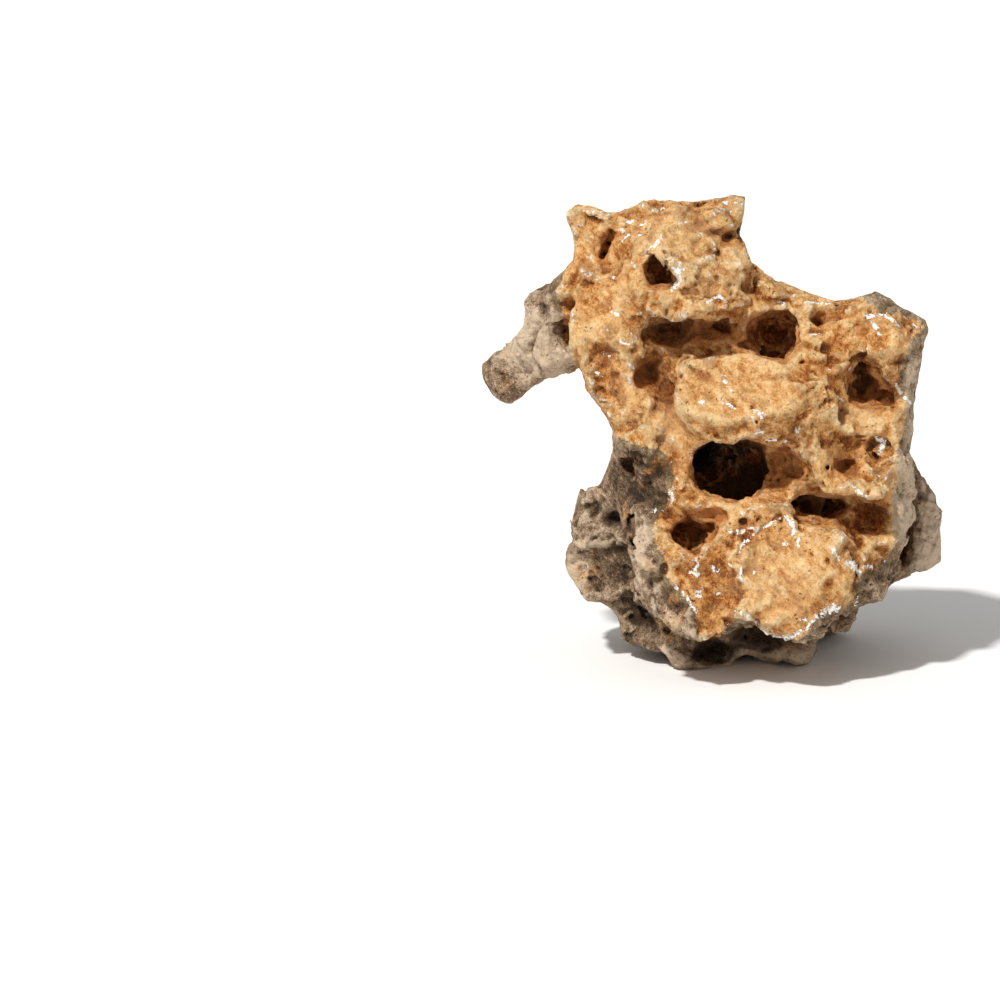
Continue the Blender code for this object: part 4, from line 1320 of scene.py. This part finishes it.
def stone_material(stone):
    """Ochre face and grey-brown rind, with white crust and dark pores over both; the pores' darkness
    is painted shade. The tone of each is noise at four scales and streaks on the smooth patches, darker
    in hollows, with painted shade in creases and hollows and a painted highlight on crests, darker in
    stains, partly painted shade, and lighter on pale patches, partly painted light. Walls deep in the
    caves and what is low and faces down take painted shade. The bump is of small lumps, grit, chips
    and the edge of the crust."""
    tree = Tree("tufa_stone")
    coordinates = tree.node("ShaderNodeTexCoord", {}, {}, 3)
    place = tree.node("ShaderNodeVectorMath", {"operation": "SCALE"}, {0: coordinates, "Scale": 1 / MM})
    sway = tree.vector("MULTIPLY_ADD", tree.noise(place, 6.0, 2.0, 0.5, 1), (4, 4, 4), place)
    note = {name: tree.attribute(name) for name in NOTES}
    cave, calm = note["cave"], note["calm"]
    broad = tree.noise(place, TONE_SIZES["broad"], 3.0, 0.55) - 0.5
    middle = tree.noise(sway, TONE_SIZES["middle"], 4.0, 0.6) - 0.5
    small = tree.noise(sway, TONE_SIZES["small"], 4.0, 0.65)
    grain = tree.noise(place, TONE_SIZES["grain"], 3.0, 0.6) - 0.5
    streaks = tree.noise(tree.stretched(place, STREAK_STRETCH), TONE_SIZES["streaks"], 3.0, 0.6) - 0.44

    mottle = middle * 1.1 + (small - 0.5) * 1.3
    tone = 0.48 + broad * 0.6 + mottle * (1 - calm * 0.4) + grain + streaks * calm * 1.1
    # Painted shade and highlight: the tone drops in creases and hollows, where much stone lies around,
    # rises on crests, where little does, and drops a little more on the walls of hollows.
    tone = tone - (note["close_hollow"] - 0.5) * 0.6 - (note["bowl"] - 0.5) * 0.25 - cave * 0.04
    # The pale patches lift the tone, partly as painted light, and the stained patches lower it, partly
    # as painted shade.
    tone = tone + note["pale"] * 0.12 - note["stain_and_shade"] * 0.26
    rough_tone = 0.08 + tone * 0.65 + mottle * calm * 0.35 + grain * 0.3 + broad * 0.5
    rough_tone = rough_tone + note["pale"] * 0.46 - note["stain_and_shade"] * 0.05
    plain_ochre, ochre = ochre_colour(tree, stone, tone, sway, note)
    rind = rind_colour(tree, stone, rough_tone, place, plain_ochre)
    share = note["ochre"] + (small - 0.5) * 0.4 + middle * 0.6
    border = tree.mix(share.between(0.10, 0.45) * 0.3, rind, stone.olive)
    colour = tree.mix(share.between(0.62, 0.82), border, ochre)
    # Painted shade deep in the caves.
    colour = tree.mix(note["sunk"] * 0.85, colour, stone.shade)
    # Faint painted shade on what is low and faces down, and near the floor.
    colour = tree.mix(note["low_shade"] * 0.05, colour, stone.shade)

    veins = tree.noise(sway, CRUST_SIZES["veins"], 5.0, 0.78) - 0.5
    strokes = (note["crust"] * 1.3 + veins * 4.6).between(0.80, 0.98)
    crests = (veins * 3.2 - (note["close_hollow"] - 0.42) * 2.0 - 0.74).between(0.0, 0.3) * note["ochre"]
    patches = tree.noise(place, CRUST_SIZES["patches"], 2.0, 0.5).between(0.48, 0.60)
    crust = strokes.most(crests * patches * 0.75) * (1 - cave)
    colour = tree.mix(crust, colour, stone.crust)
    # The dark pores are painted shade in holes too small for the mesh; the bump dents them too.
    pores = (0.24 - tree.cells(sway, CRUST_SIZES["pores"])).between(0.0, 0.1)
    grouped = tree.noise(place, CRUST_SIZES["pore groups"], 2.0, 0.5).between(0.54, 0.62)
    pores = pores * grouped * (1 - crust)
    colour = tree.mix(pores * 0.75, colour, darker(0.5, stone.ochre_deep))
    tree.feed(tree.shader.inputs["Base Color"], colour)
    tree.feed(tree.shader.inputs["Roughness"], 0.94 - crust * 0.16)
    tree.shader.inputs["Specular IOR Level"].default_value = 0.25

    grit = tree.noise(place, 1.8, 4.0, 0.75)
    chips = tree.facets(sway, CHIP_SIZES[0]) * 1.5 + tree.facets(sway, CHIP_SIZES[1]) * 0.7
    loose = (grit * 0.6 + chips * (1 - calm * 0.7)) * (1 - crust * 0.8)
    height = small * 0.4 + loose - pores * 0.5 + crust * 0.2
    relief = {"Height": height, "Strength": 1.0, "Distance": stone.relief * MM}
    tree.feed(tree.shader.inputs["Normal"], tree.node("ShaderNodeBump", {}, relief))
    return tree.material


def floor_material(stage):
    """A pale matt sheet with the faintest unevenness in its tone."""
    tree = Tree("pale_floor")
    coordinates = tree.node("ShaderNodeTexCoord", {}, {}, 3)
    cloud = tree.node("ShaderNodeTexNoise", {}, {"Vector": coordinates, "Scale": 3.0, "Detail": 2.0})
    tree.feed(tree.shader.inputs["Base Color"], tree.mix(cloud, stage.floor, darker(0.985, stage.floor)))
    tree.shader.inputs["Roughness"].default_value = 0.8
    return tree.material


# Operators.


class TUFA_OT_stone(bpy.types.Operator):
    """Make the stone: the CAD stone with its surface worn, pitted and coloured"""

    bl_idname = "tufa.stone"
    bl_label = "Stone"

    def execute(self, context):
        stone = context.scene.tufa_stone
        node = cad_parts["tufa_rock"]
        field = Field.around(*cad_surface(node), stone.voxel)
        field.values = box_blurred(field.values, stone.rounding, 2)
        outline = PictureMap.of(lambda across, up: edge_distance(across, up, OUTLINE))
        shape_outline(field, stone, outline)
        smooth = PictureMap.of(lambda across, up: patch_strength(across, up, SMOOTH_PATCHES))
        flatten_calm(field, smooth)
        hollow = shape_forms(field)
        wear(field, stone, hollow, smooth)
        pit(field, stone)
        trim_outline(field, stone, outline)
        drop_slivers(field)
        cut_at_ground(field)
        points, quads = largest_piece(*field.surface())
        made = made_object("tufa_stone", made_mesh("tufa_stone", points, quads), stone_material(stone))
        thinned(made, stone.triangles)
        note_relief(made.data, field, stone, hollow)
        made.data.shade_smooth()
        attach(made, "root")
        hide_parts("tufa_rock")
        return {"FINISHED"}


class TUFA_OT_stage(bpy.types.Operator):
    """Make the floor, the lights and the camera"""

    bl_idname = "tufa.stage"
    bl_label = "Stage"

    def execute(self, context):
        stage = context.scene.tufa_stage
        reach = stage.reach
        corners = [(-reach, -reach, 0), (reach, -reach, 0), (reach, reach, 0), (-reach, reach, 0)]
        mesh = bpy.data.meshes.new("floor")
        mesh.from_pydata(corners, [], [(0, 1, 2, 3)])
        made_object("floor", mesh, floor_material(stage))
        context.scene.world = studio_world(stage)
        add_key_light(stage)
        add_camera()
        context.scene.view_settings.view_transform = "Standard"
        return {"FINISHED"}


def studio_world(stage):
    """Soft light from all round, and a pale backdrop where a sight line passes the floor."""
    world = bpy.data.worlds.new("studio")
    world.use_nodes = True
    nodes, links = world.node_tree.nodes, world.node_tree.links
    soft = nodes["Background"]
    soft.inputs["Color"].default_value = (1.0, 0.985, 0.96, 1.0)
    soft.inputs["Strength"].default_value = stage.surround
    backdrop = nodes.new("ShaderNodeBackground")
    backdrop.inputs["Strength"].default_value = stage.backdrop
    choice = nodes.new("ShaderNodeMixShader")
    links.new(nodes.new("ShaderNodeLightPath").outputs["Is Camera Ray"], choice.inputs["Fac"])
    links.new(soft.outputs["Background"], choice.inputs[1])
    links.new(backdrop.outputs["Background"], choice.inputs[2])
    links.new(choice.outputs["Shader"], nodes["World Output"].inputs["Surface"])
    return world


def add_key_light(stage):
    """A far lamp that shines from its place towards the foot of the stone, evenly over the floor."""
    lamp = bpy.data.lights.new("key", "SUN")
    lamp.energy = stage.key
    lamp.angle = stage.key_angle
    lamp.color = (1.0, 0.985, 0.955)
    made = bpy.data.objects.new("key", lamp)
    made.location = stage.key_place
    made.rotation_euler = (-made.location).to_track_quat("-Z", "Y").to_euler()
    bpy.context.scene.collection.objects.link(made)


def add_camera():
    """The eye of the layout: EYE_DISTANCE from the picture plane, seeing VIEW_WIDTH of it."""
    camera = bpy.data.cameras.new("camera")
    camera.sensor_width = 36.0
    camera.lens = camera.sensor_width * EYE_DISTANCE / VIEW_WIDTH
    made = bpy.data.objects.new("camera", camera)
    made.location = EYE * MM
    made.rotation_euler = Vector(AIM).to_track_quat("-Z", "Y").to_euler()
    bpy.context.scene.collection.objects.link(made)
    bpy.context.scene.camera = made


class TUFA_PT_panel(bpy.types.Panel):
    """Lists the settings and the steps"""

    bl_idname = "TUFA_PT_panel"
    bl_label = "Tufa rock"
    bl_space_type = "VIEW_3D"
    bl_region_type = "UI"
    bl_category = "Tufa"

    def draw(self, context):
        for group, operator in STEPS:
            box = self.layout.box()
            box.operator(operator.bl_idname)
            settings = getattr(context.scene, group)
            for name in settings.bl_rna.properties.keys():
                if name not in ("name", "rna_type"):
                    box.prop(settings, name)


STEPS = (("tufa_stone", TUFA_OT_stone), ("tufa_stage", TUFA_OT_stage))
CLASSES = (TUFA_PG_stone, TUFA_PG_stage, TUFA_OT_stone, TUFA_OT_stage, TUFA_PT_panel)


def register():
    for item in CLASSES:
        bpy.utils.register_class(item)
    bpy.types.Scene.tufa_stone = PointerProperty(type=TUFA_PG_stone)
    bpy.types.Scene.tufa_stage = PointerProperty(type=TUFA_PG_stage)


def unregister():
    del bpy.types.Scene.tufa_stone
    del bpy.types.Scene.tufa_stage
    for item in reversed(CLASSES):
        bpy.utils.unregister_class(item)


def main():
    register()
    bpy.ops.tufa.stone()
    bpy.ops.tufa.stage()
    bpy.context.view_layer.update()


if __name__ == "__main__":
    main()
